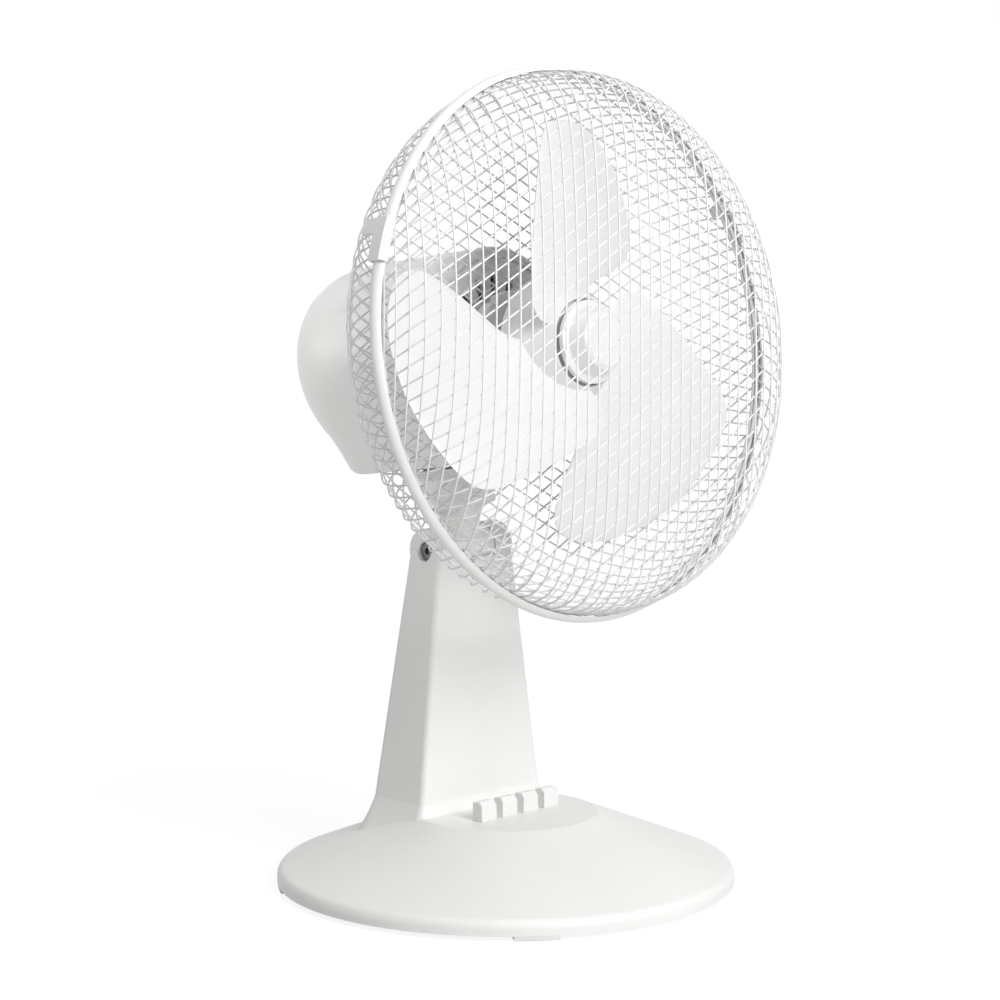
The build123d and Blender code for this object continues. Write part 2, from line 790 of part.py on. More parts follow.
# rear housing: round cup with a squared keel over the neck
keel_low = foot_low + 1.0
keel_levels = (
    (keel_low, housing_r * 0.57, house_rear + 31.0),
    (keel_low + housing_r * 0.33, housing_r * 0.75, house_rear + 17.0),
)
keel_round = 8.0
with BuildPart() as rear_housing:
    with BuildSketch(prof):
        with Locations((housing_r / 2, (joint_s + house_rear) / 2)):
            Rectangle(housing_r, joint_s - house_rear)
        fillet(vertices().sort_by(Axis.X)[-2:].sort_by(Axis.Y)[0], radius=dome_r)
    revolve(axis=fan_axis)
    for level, half, end in keel_levels:
        with BuildSketch(stem.offset(level)):
            with Locations((0, -(joint_s + end) / 2 - arm_fwd)):
                RectangleRounded(half * 2, joint_s - end, keel_round)
    loft()
    with BuildSketch(prof):
        with Locations(((housing_r - skin) / 2, (joint_s + house_rear + skin) / 2)):
            Rectangle(housing_r - skin, joint_s - house_rear - skin)
        fillet(vertices().sort_by(Axis.X)[-2:].sort_by(Axis.Y)[0], radius=dome_r - skin)
    revolve(axis=fan_axis, mode=Mode.SUBTRACT)
    for level, half, end in keel_levels:
        with BuildSketch(stem.offset(level + skin)):
            with Locations((0, -(joint_s + end + skin) / 2 - arm_fwd)):
                RectangleRounded(half * 2 - 2 * skin, joint_s - end - skin, keel_round - skin)
    loft(mode=Mode.SUBTRACT)
    # opening for the swivel foot
    with BuildSketch(stem.offset(foot_low)):
        Circle(pin_r + 13)
        with Locations((0, foot_reach / 2)):
            Rectangle(foot_w + 2, foot_reach + 2)
    extrude(amount=foot_top - foot_low + 1, mode=Mode.SUBTRACT)
    # screw hole and cooling slots in the back
    with BuildSketch(face.offset(house_rear)):
        Circle(hole_r)
        with Locations((0, 12), (0, -12)):
            SlotOverall(26, 3)
    extrude(amount=skin, mode=Mode.SUBTRACT)
rear_housing.part.label = "rear_housing"
export_step(rear_housing.part, "parts/rear_housing.step")

with BuildPart() as housing_screw:
    with BuildSketch(face.offset(house_rear)):
        Circle(screw_r)
    extrude(amount=skin + 17)
    with BuildSketch(face.offset(house_rear)):
        Circle(head_r)
    extrude(amount=-head_h)
housing_screw.part.label = "housing_screw"
export_step(housing_screw.part, "parts/housing_screw.step")


def spoke(angle):
    return side * cos(radians(angle)) + up * sin(radians(angle))


def wire_plane(angle, off):
    across = spoke(angle + 90)
    return Plane(origin=hub + across * off, x_dir=spoke(angle), z_dir=-across)


def run_points(off, rings):
    # a wire bends where it crosses each ring, or peaks at its middle short of the next ring
    outside = [(r, s) for r, s in rings if r > abs(off)]
    pts = [(sqrt(r * r - off * off), s) for r, s in outside]
    if len(outside) < len(rings):
        (r1, s1), (r2, s2) = outside[-1], rings[len(outside)]
        pts.append((0.0, s1 + (r1 - abs(off)) / (r1 - r2) * (s2 - s1)))
    left = [(-x, s) for x, s in pts]
    return left + [p for p in reversed(pts) if p[0] > 0]


def inset_rings(rings, depth, flat_depth):
    # every ring moves into the cage, the last one straight along the shaft
    sign = 1 if rings[-1][1] > 0 else -1
    moved = []
    for (r, s), (r1, s1), (r2, s2) in zip(rings, rings[:1] + rings, rings[1:]):
        size = hypot(r2 - r1, s2 - s1)
        moved.append((r - sign * (s2 - s1) / size * depth, s + sign * (r2 - r1) / size * depth))
    return moved + [(rings[-1][0] - depth / 2, rings[-1][1] - sign * flat_depth)]


# guards: each is two layers of bent wires, welded to its own rim band
leg_r = ring_r - 4.3
layer_drop = wire + 1.4
front_rings = [(leg_r, 1.2), (ring_r - 8.5, 24.0), (ring_r - 22.0, 36.5), (ring_r - 45.0, 44.5)]
rear_rings = [(leg_r, -1.2), (ring_r - 9.0, -31.0), (ring_r - 36.0, rear_flat)]
outer_band = (ring_r - 7.0, ring_r - 2.7)
inner_band = (ring_r - 11.0, ring_r - 7.3)
wire_offsets = [(k + 0.5 - wire_count / 2) * pitch for k in range(wire_count)]


def guard_layer(rings, angle, level, band, with_mount):
    sign = 1 if rings[-1][1] > 0 else -1
    outer = inset_rings(rings, level * layer_drop, level * wire)
    inner = inset_rings(rings, level * layer_drop + wire, level * wire + wire)
    with BuildPart() as layer:
        for off in wire_offsets:
            with BuildSketch(wire_plane(angle, off)):
                with BuildLine():
                    Polyline(*run_points(off, outer), *reversed(run_points(off, inner)), close=True)
                make_face()
        extrude(amount=wire / 2, both=True)
        if with_mount:
            with BuildSketch(face.offset(outer[-1][1])):
                Circle(mount_ring_r - 1)
            extrude(amount=-sign * wire, mode=Mode.SUBTRACT)
            with BuildSketch(face.offset(outer[-1][1])):
                Circle(mount_ring_r)
                Circle(boss_r + 0.5, mode=Mode.SUBTRACT)
            extrude(amount=-sign * wire)
        with BuildSketch(prof):
            with Locations(((band[0] + band[1]) / 2, sign * (rim_gap + rim_w / 2))):
                Rectangle(band[1] - band[0], rim_w)
        revolve(axis=fan_axis)
    return layer.part


guards = (
    ("front_guard", front_rings, front_dirs, False),
    ("rear_guard", rear_rings, rear_dirs, True),
)
for label, rings, dirs, with_mount in guards:
    layers = [
        guard_layer(rings, dirs[0], 0, outer_band, with_mount),
        guard_layer(rings, dirs[1], 1, inner_band, with_mount),
    ]
    guard = Compound([solid for layer in layers for solid in layer.solids()])
    guard.label = label
    export_step(guard, f"parts/{label}.step")

nut_r = mount_ring_r + 1.0
with BuildPart() as guard_nut:
    with BuildSketch(face.offset(rear_flat + 2 * wire)):
        Circle(nut_r)
        Circle(boss_r + slip, mode=Mode.SUBTRACT)
        with PolarLocations(nut_r + 1.5, 12):
            Circle(4, mode=Mode.SUBTRACT)
    extrude(amount=8)
guard_nut.part.label = "guard_nut"
export_step(guard_nut.part, "parts/guard_nut.step")

# trim ring holds the two rims together, with a snap clip at each side
lip_r = ring_r - 3.6
channel_r = ring_r - 2.4
channel_half = rim_gap + rim_w + 0.3
ring_half = channel_half + 1.2
with BuildPart() as trim_ring:
    with BuildSketch(prof):
        with BuildLine():
            Polyline(
                (lip_r + 0.4, ring_half),
                (lip_r, ring_half),
                (lip_r, channel_half),
                (channel_r, channel_half),
                (channel_r, -channel_half),
                (lip_r, -channel_half),
                (lip_r, -ring_half),
                (ring_r - 1.4, -ring_half),
                (ring_r, 1.4 - ring_half),
                (ring_r, -1.8),
            )
            ThreePointArc((ring_r, -1.8), (ring_r - 0.9, 1.6), (lip_r + 0.4, ring_half))
        make_face()
    revolve(axis=fan_axis)
trim_ring.part.label = "trim_ring"
export_step(trim_ring.part, "parts/trim_ring.step")

clip_in = ring_half + slip
clip_out = clip_in + 1.5
clip_r = ring_r + 1.8
with BuildPart() as ring_clips:
    for angle in clip_angles:
        with BuildSketch(wire_plane(angle - clip_arc / 2, 0)):
            with BuildLine():
                Polyline(
                    (lip_r, -clip_out),
                    (clip_r, -clip_out),
                    (clip_r, clip_out - 2.2),
                    (clip_r - 2.2, clip_out),
                    (lip_r, clip_out),
                    (lip_r, clip_in),
                    (ring_r + slip, clip_in),
                    (ring_r + slip, -clip_in),
                    (lip_r, -clip_in),
                    close=True,
                )
            make_face()
        revolve(axis=fan_axis, revolution_arc=clip_arc)
        # finger tab at the upper end
        tab_at = angle - clip_arc / 2 if angle > 90 else angle + clip_arc / 2 - tab_arc
        with BuildSketch(wire_plane(tab_at, 0)):
            with Locations((clip_r - 1.5, -clip_out - 4)):
                Rectangle(3, 9)
        revolve(axis=fan_axis, revolution_arc=tab_arc)
ring_clips.part.label = "ring_clips"
export_step(ring_clips.part, "parts/ring_clips.step")

# rotor: shaft, cage core, drive pin, moulded fan and its spinner nut
drive_plane = Plane(origin=hub + fwd * drive_pin_s, x_dir=up, z_dir=side)
thread_r = shaft_r - 0.5
rotor_r = stator_bore - 0.4
end_ring = 4.0
end_ring_r = rotor_r - 2.1
with BuildPart() as motor_shaft:
    with BuildSketch(face.offset(shaft_rear)):
        Circle(shaft_r)
    extrude(amount=shaft_step - shaft_rear)
    with BuildSketch(face.offset(shaft_step)):
        Circle(thread_r)
    extrude(amount=shaft_front - shaft_step)
    with BuildSketch(drive_plane):
        Circle(drive_pin_r + fit)
    extrude(amount=2 * shaft_r, both=True, mode=Mode.SUBTRACT)
motor_shaft.part.label = "motor_shaft"
export_step(motor_shaft.part, "parts/motor_shaft.step")

with BuildPart() as rotor_core:
    with BuildSketch(prof):
        with BuildLine():
            Polyline(
                (shaft_r + fit, stack_rear - end_ring),
                (end_ring_r, stack_rear - end_ring),
                (end_ring_r, stack_rear),
                (rotor_r, stack_rear),
                (rotor_r, stack_front),
                (end_ring_r, stack_front),
                (end_ring_r, stack_front + end_ring),
                (shaft_r + fit, stack_front + end_ring),
                close=True,
            )
        make_face()
    revolve(axis=fan_axis)
rotor_core.part.label = "rotor_core"
export_step(rotor_core.part, "parts/rotor_core.step")

with BuildPart() as drive_pin:
    with BuildSketch(drive_plane):
        Circle(drive_pin_r)
    extrude(amount=9, both=True)
drive_pin.part.label = "drive_pin"
export_step(drive_pin.part, "parts/drive_pin.step")

# one blade: its outline seen along the shaft, cut from a curved sheet
outline = (
    (-47.0, 24.0),
    (-41.0, 66.0),
    (-32.0, 98.0),
    (-21.0, 126.0),
    (-4.0, 135.5),
    (27.0, 134.3),
    (55.0, 124.5),
    (82.0, 102.5),
    (96.5, 74.0),
    (92.0, 54.0),
    (70.0, 44.5),
    (36.0, 38.0),
)
# the sheet bends about a line along the straight edge of the blade
edge_low = Vector(-41.0, 23.0)
edge_dir = Vector(18.0, 106.0).normalized()
edge_out = Vector(edge_dir.Y, -edge_dir.X)
sheet_x = side * edge_out.X + up * edge_out.Y
sheet_z = side * -edge_dir.X + up * -edge_dir.Y
sheet = Plane(origin=hub + side * edge_low.X + up * edge_low.Y, x_dir=sheet_x, z_dir=sheet_z)
bend = ((-14.0, 14.2), (68.0, -12.4), (150.0, -46.5))
under = tuple((x, s - blade_t) for x, s in bend)
with BuildPart() as blade:
    with BuildSketch(face.offset(bend[-1][1] - 14)):
        with BuildLine():
            Spline(*outline)
            Polyline(outline[-1], (14.0, 18.0), (-22.0, 10.0), outline[0])
        make_face()
    extrude(amount=85)
    with BuildSketch(sheet):
        with BuildLine():
            ThreePointArc(*bend)
            Line(bend[-1], under[-1])
            ThreePointArc(*reversed(under))
            Line(under[0], bend[0])
        make_face()
    extrude(amount=ring_r, both=True, mode=Mode.INTERSECT)

hub_top = hub_front - 2.0
web_top = hub_front - 3.0
sleeve_r = shaft_r + 6.0
rib_count = 6
with BuildPart() as fan_blade:
    with BuildSketch(prof):
        with BuildLine():
            Polyline(
                (0, hub_rear),
                (hub_root_r, hub_rear),
                (hub_mid_r, hub_rear / 2),
                (hub_r, hub_top),
                (hub_r - 1.5, hub_front),
                (0, hub_front),
                close=True,
            )
        make_face()
    revolve(axis=fan_axis)
    for turn in range(blade_count):
        add(blade.part.rotate(fan_axis, 360 / blade_count * turn))
    # hollow behind the hub cone
    with BuildSketch(prof):
        with BuildLine():
            Polyline(
                (0, hub_rear - 36),
                (hub_root_r - skin, hub_rear - 36),
                (hub_root_r - skin, hub_rear),
                (hub_mid_r - skin, hub_rear / 2),
                (hub_r - 3, hub_front - 3.5),
                (0, hub_front - 3.5),
                close=True,
            )
        make_face()
    revolve(axis=fan_axis, mode=Mode.SUBTRACT)
    with BuildSketch(face.offset(web_top)):
        Circle(sleeve_r)
        for turn in range(rib_count):
            with Locations(Location((0, 0, 0), (0, 0, 360 / rib_count * turn))):
                with Locations((hub_r / 2, 0)):
                    Rectangle(hub_r - 4, 2)
    extrude(amount=-18)
    with BuildSketch(face.offset(hub_front)):
        Circle(sleeve_r)
    extrude(amount=-26)
    with BuildSketch(face.offset(hub_front)):
        Circle(shaft_r + fit)
    extrude(amount=-40, mode=Mode.SUBTRACT)
    # slot that seats on the drive pin
    with BuildSketch(face.offset(drive_pin_s + drive_pin_r + slip)):
        Rectangle(24, 2 * (drive_pin_r + 0.2))
    extrude(amount=-8, mode=Mode.SUBTRACT)
fan_blade.part.label = "fan_blade"
export_step(fan_blade.part, "parts/fan_blade.step")

with BuildPart() as spinner:
    with BuildSketch(prof):
        with BuildLine():
            Polyline(
                (0, hub_front),
                (hub_r - 2.5, hub_front),
                (hub_r - 2.5, hub_front + 3),
                (hub_r - 6, hub_front + 4.5),
                (hub_r - 10, hub_front + 14),
                (hub_r - 12.5, hub_front + 15.5),
                (0, hub_front + 15.5),
                close=True,
            )
        make_face()
    revolve(axis=fan_axis)
    with BuildSketch(face.offset(hub_front)):
        Circle(thread_r + fit)
    extrude(amount=shaft_front - hub_front + 1, mode=Mode.SUBTRACT)
spinner.part.label = "spinner"
export_step(spinner.part, "parts/spinner.step")
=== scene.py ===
import json
import math

import bmesh
import bpy
from mathutils import Euler, Matrix, Vector


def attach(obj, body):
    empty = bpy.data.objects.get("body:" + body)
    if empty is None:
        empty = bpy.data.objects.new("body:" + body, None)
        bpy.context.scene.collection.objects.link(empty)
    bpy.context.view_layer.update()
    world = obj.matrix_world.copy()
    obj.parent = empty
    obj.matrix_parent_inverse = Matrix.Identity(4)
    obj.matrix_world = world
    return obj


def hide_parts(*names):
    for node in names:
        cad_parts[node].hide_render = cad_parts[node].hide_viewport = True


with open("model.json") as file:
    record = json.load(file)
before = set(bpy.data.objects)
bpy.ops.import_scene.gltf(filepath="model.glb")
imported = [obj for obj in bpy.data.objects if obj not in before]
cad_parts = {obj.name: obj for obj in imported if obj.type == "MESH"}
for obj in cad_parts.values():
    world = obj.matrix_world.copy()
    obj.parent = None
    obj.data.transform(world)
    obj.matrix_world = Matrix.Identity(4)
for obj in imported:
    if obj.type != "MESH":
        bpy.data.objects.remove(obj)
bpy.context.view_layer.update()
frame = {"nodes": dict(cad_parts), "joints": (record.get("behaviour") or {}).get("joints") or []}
nodes = frame["nodes"]
scene = bpy.context.scene
scene.view_settings.view_transform = "Standard"
mm = 0.001
weldGap = 1e-6
print("frame loaded with", len(nodes), "nodes")


def hexToLinear(code):
    parts = [int(code[i:i + 2], 16) / 255 for i in (1, 3, 5)]
    return [c / 12.92 if c <= 0.04045 else ((c + 0.055) / 1.055) ** 2.4 for c in parts] + [1.0]


# adds one node: settings by keyword, socket values or links by socket name or number
def addNode(tree, kind, values=None, **settings):
    node = tree.nodes.new(kind)
    for key, value in settings.items():
        setattr(node, key, value)
    for key, value in (values or {}).items():
        if isinstance(value, bpy.types.NodeSocket):
            tree.links.new(value, node.inputs[key])
        else:
            node.inputs[key].default_value = value
    return node


# camera at the photograph's viewing angle
cameraSet = {
    "place": (-1.4137, -1.3918, 0.5032),
    "azimuth": -45.34,
    "elevation": 7.43,
    "lens": 115.03,
    "sensor": 36.0,
    "farthest": 20.0,
}
cameraData = bpy.data.cameras.new("camera")
cameraData.lens = cameraSet["lens"]
cameraData.sensor_width = cameraSet["sensor"]
cameraData.clip_end = cameraSet["farthest"]
camera = bpy.data.objects.new("camera", cameraData)
camera.location = cameraSet["place"]
camera.rotation_euler = (math.radians(90 - cameraSet["elevation"]), 0, math.radians(cameraSet["azimuth"]))
scene.collection.objects.link(camera)
scene.camera = camera
print("camera set")


# materials
def startMaterial(name, shader):
    material = bpy.data.materials.new(name)
    material.use_nodes = True
    tree = material.node_tree
    surface = tree.nodes["Principled BSDF"]
    for key, value in shader.items():
        surface.inputs[key].default_value = value
    return material, tree, surface


# how all materials vary: detail of drift and grain, where the two colours meet, strength of the grain
grainSet = {"driftDetail": 3.0, "driftStops": (0.35, 0.65), "grainDetail": 2.0, "bump": 0.35}


# cloudy colour drift and a fine moulded or cast grain, sizes in millimetres
def addGrain(tree, surface, colours, driftSize, grainSize, grainDepth, roughness):
    spot = addNode(tree, "ShaderNodeTexCoord").outputs["Object"]
    drift = addNode(
        tree,
        "ShaderNodeTexNoise",
        {"Vector": spot, "Scale": 1 / (driftSize * mm), "Detail": grainSet["driftDetail"]},
    )
    ramp = addNode(tree, "ShaderNodeValToRGB", {"Fac": drift.outputs["Fac"]})
    for stop, share, colour in zip(ramp.color_ramp.elements, grainSet["driftStops"], colours):
        stop.position = share
        stop.color = hexToLinear(colour)
    tree.links.new(ramp.outputs["Color"], surface.inputs["Base Color"])
    grain = addNode(
        tree,
        "ShaderNodeTexNoise",
        {"Vector": spot, "Scale": 1 / (grainSize * mm), "Detail": grainSet["grainDetail"]},
    )
    bump = addNode(
        tree,
        "ShaderNodeBump",
        {"Strength": grainSet["bump"], "Distance": grainDepth * mm, "Height": grain.outputs["Fac"]},
    )
    tree.links.new(bump.outputs["Normal"], surface.inputs["Normal"])
    spread = addNode(
        tree,
        "ShaderNodeMapRange",
        {"Value": grain.outputs["Fac"], "To Min": roughness[0], "To Max": roughness[1]},
    )
    tree.links.new(spread.outputs["Result"], surface.inputs["Roughness"])


# slot: name, two colours, size of drift, size and depth of grain, range of roughness, IOR, metal or not
materialSet = {
    # moulded ABS, spark-textured tool: soft broad sheen, never a sharp reflection
    "white_plastic": ("absSatinWhite", ("#EFEFED", "#F3F3F1"), 90, 1.2, 0.03, (0.38, 0.50), 1.53, 0),
    # moulded styrene-acrylonitrile: smooth, a little cooler and glossier than the stand
    "fan_plastic": ("sanBladeWhite", ("#EDEDEC", "#F1F1F0"), 70, 2.0, 0.01, (0.26, 0.34), 1.57, 0),
    # polished ABS: a touch greyer than the stand, with a small sharp glint
    "key_plastic": ("absGlossKey", ("#ECECEB", "#F0F0EF"), 30, 2.0, 0.01, (0.22, 0.28), 1.53, 0),
    # powder-coated drawn wire: white, slightly orange-peeled
    "white_wire": ("powderCoatWire", ("#E6E6E6", "#ECECEC"), 25, 0.9, 0.03, (0.30, 0.42), 1.5, 0),
    # glass-filled polypropylene: dull and pale grey with a faint mottle
    "grey_plastic": ("filledPolypropyleneGrey", ("#E2E2E2", "#E9E9E9"), 20, 0.8, 0.03, (0.55, 0.68), 1.49, 0),
    # moulded thermoplastic rubber: dead matt, pale under the rim and grey at the cord inlet
    "foot_rubber": ("elastomerPaleGrey", ("#EAEAE8", "#EFEFED"), 12, 0.7, 0.05, (0.75, 0.88), 1.5, 0),
    "grey_rubber": ("elastomerGrey", ("#8E8E8D", "#989896"), 12, 0.7, 0.05, (0.75, 0.88), 1.5, 0),
    # black polyamide: matt with a grey bloom
    "dark_plastic": ("polyamideBlack", ("#1D1D1E", "#262627"), 15, 0.8, 0.03, (0.50, 0.62), 1.53, 0),
    # natural polyamide: creamy, waxy
    "nylon": ("polyamideNatural", ("#DAD7CC", "#E0DDD3"), 18, 0.8, 0.02, (0.42, 0.52), 1.53, 0),
    # die-cast zinc: dull grey with flow marks
    "zinc": ("zincDieCast", ("#A2A4A8", "#B4B6BA"), 14, 0.6, 0.05, (0.45, 0.62), 1.5, 1),
    # zinc-plated steel: cool and fairly bright
    "steel": ("steelZincPlated", ("#B9BBC0", "#C9CBCF"), 8, 0.5, 0.02, (0.26, 0.38), 1.5, 1),
    # steel darkened to paint the shade in the tilt bolt's recess: darker than the plated screws, with an oily
    # film
    "black_steel": ("steelPaintedRecessShade", ("#6E6E70", "#7A7A7C"), 8, 0.5, 0.02, (0.40, 0.52), 1.5, 1),
    # raw cast iron: dark and rough
    "iron": ("castIronRaw", ("#4A4A4B", "#58585A"), 10, 0.9, 0.15, (0.65, 0.85), 1.5, 1),
    # varnished steel sheet: dark with a brownish film
    "lamination": ("laminationSteel", ("#6C6A68", "#7A7876"), 9, 0.5, 0.04, (0.40, 0.55), 1.5, 1),
    # enamelled copper: warm and glossy
    "copper": ("copperEnamelled", ("#B4683B", "#C67A48"), 6, 0.7, 0.08, (0.25, 0.38), 1.5, 1),
    # sintered bronze: warm, dull and oily
    "bronze": ("bronzeSintered", ("#A9824F", "#B58E5A"), 6, 0.5, 0.05, (0.40, 0.55), 1.5, 1),
}
materials = {}
for slotName, (name, colours, drift, grain, depth, rough, ior, metal) in materialSet.items():
    shader = {"IOR": ior, "Metallic": float(metal)}
    material, tree, surface = startMaterial(name, shader)
    addGrain(tree, surface, colours, drift, grain, depth, rough)
    materials[slotName] = material
for node in nodes.values():
    for place in node.material_slots:
        if place.material and place.material.name in materials:
            place.material = materials[place.material.name]
# the bolt of the tilt joint is coloured dark as painted shade in its recess
nodes["tilt_bolt"].material_slots[0].material = materials["black_steel"]
print("materials made:", len(materials))

# head frame: origin at the ring's centre, x to the side, y up the head, z forward along the shaft
spinJoint = next(j for j in frame["joints"] if j["name"] == "spin")
hubPoint = Vector(spinJoint["pos_m"])
headTilt = math.asin(spinJoint["axis"][2])
headTurn = (math.pi / 2 - headTilt, 0.0, 0.0)
backTurn = (-math.pi / 2 - headTilt, 0.0, 0.0)


def startTree(name, inputs):
    tree = bpy.data.node_groups.new(name, "GeometryNodeTree")
    for label, kind in inputs:
        tree.interface.new_socket(name=label, in_out="INPUT", socket_type=kind)
    tree.interface.new_socket(name="Geometry", in_out="OUTPUT", socket_type="NodeSocketGeometry")
    return tree, addNode(tree, "NodeGroupInput").outputs


# every tree ends alike: put in place, made real and given its material
def endTree(tree, geometry, place, turn, material):
    placed = addNode(
        tree,
        "GeometryNodeTransform",
        {"Geometry": geometry, "Translation": place, "Rotation": turn},
    )
    real = addNode(tree, "GeometryNodeRealizeInstances", {0: placed.outputs[0]})
    painted = addNode(tree, "GeometryNodeSetMaterial", {"Geometry": real.outputs[0], "Material": material})
    addNode(tree, "NodeGroupOutput", {0: painted.outputs[0]})


# grows a node tree on an empty carrier and keeps the result as a plain mesh piece
def bakePiece(name, tree, values, sharpAngle):
    carrier = bpy.data.objects.new(name + "Carrier", bpy.data.meshes.new(name + "Carrier"))
    scene.collection.objects.link(carrier)
    modifier = carrier.modifiers.new("nodes", "NODES")
    modifier.node_group = tree
    for socket in tree.interface.items_tree:
        if socket.item_type == "SOCKET" and socket.in_out == "INPUT" and socket.name in values:
            modifier[socket.identifier] = values[socket.name]
    bpy.context.view_layer.update()
    grown = carrier.evaluated_get(bpy.context.evaluated_depsgraph_get())
    mesh = bpy.data.meshes.new_from_object(grown)
    mesh.name = name
    mesh.shade_smooth()
    mesh.set_sharp_from_angle(angle=math.radians(sharpAngle))
    bpy.data.objects.remove(carrier)
    piece = bpy.data.objects.new(name, mesh)
    scene.collection.objects.link(piece)
    return piece


# a shape that a tree repeats or a cut uses: an object kept out of the scene
def spareShape(name, mesh):
    return bpy.data.objects.new(name, mesh)


def meshFromForm(name, form):
    bmesh.ops.recalc_face_normals(form, faces=form.faces)
    mesh = bpy.data.meshes.new(name)
    form.to_mesh(mesh)
    form.free()
    return mesh


# joins rings of points by faces, each ring closed round
def joinRings(form, rings):
    for near, far in zip(rings, rings[1:]):
        for i in range(len(near)):
            j = (i + 1) % len(near)
            form.faces.new((near[i], near[j], far[j], far[i]))


# turns a profile of radius and height, closed or with its ends on the axis, round the z axis
def turnProfile(name, profile, steps):
    form = bmesh.new()
    points = [form.verts.new((r * mm, 0, s * mm)) for r, s in profile]
    edges = [form.edges.new(pair) for pair in zip(points, points[1:])]
    bmesh.ops.spin(
        form,
        geom=points + edges,
        axis=(0, 0, 1),
        cent=(0, 0, 0),
        steps=steps,
        angle=2 * math.pi,
        use_merge=True,
    )
    bmesh.ops.remove_doubles(form, verts=form.verts, dist=weldGap)
    return meshFromForm(name, form)


# guards: two crossing layers of wires laid over a bowl at an even pitch, welded to a rim wire
# both share the points and sides of their tubes, the gap of the layers in wires and the angle of a hard edge
wireSet = {"points": 72, "sides": 8, "rimPoints": 160, "rimSides": 10, "layerGap": 0.96, "hardEdge": 60}
frontGuardSet = {
    "profile": (
        (0, 48), (60, 47.3), (100, 45.5), (130, 42), (146, 36.8),
        (156, 30), (161.5, 23), (164.4, 14), (165.6, 1.4),
    ),
    "turns": (81.4, 25.5),
    "wire": 1.15,
    "pitch": 9.1,
    "wires": 42,
    "bore": 0.0,
    "rimWire": 2.4,
}
rearGuardSet = {
    "profile": (
        (0, -59), (110, -59), (128, -57.6), (140, -52),
        (152, -41), (160, -31), (163.8, -20), (165.6, -1.4),
    ),
    "turns": (25.0, 149.0),
    "wire": 1.15,
    "pitch": 9.1,
    "wires": 44,
    "bore": 36.0,
    "rimWire": 2.4,
}


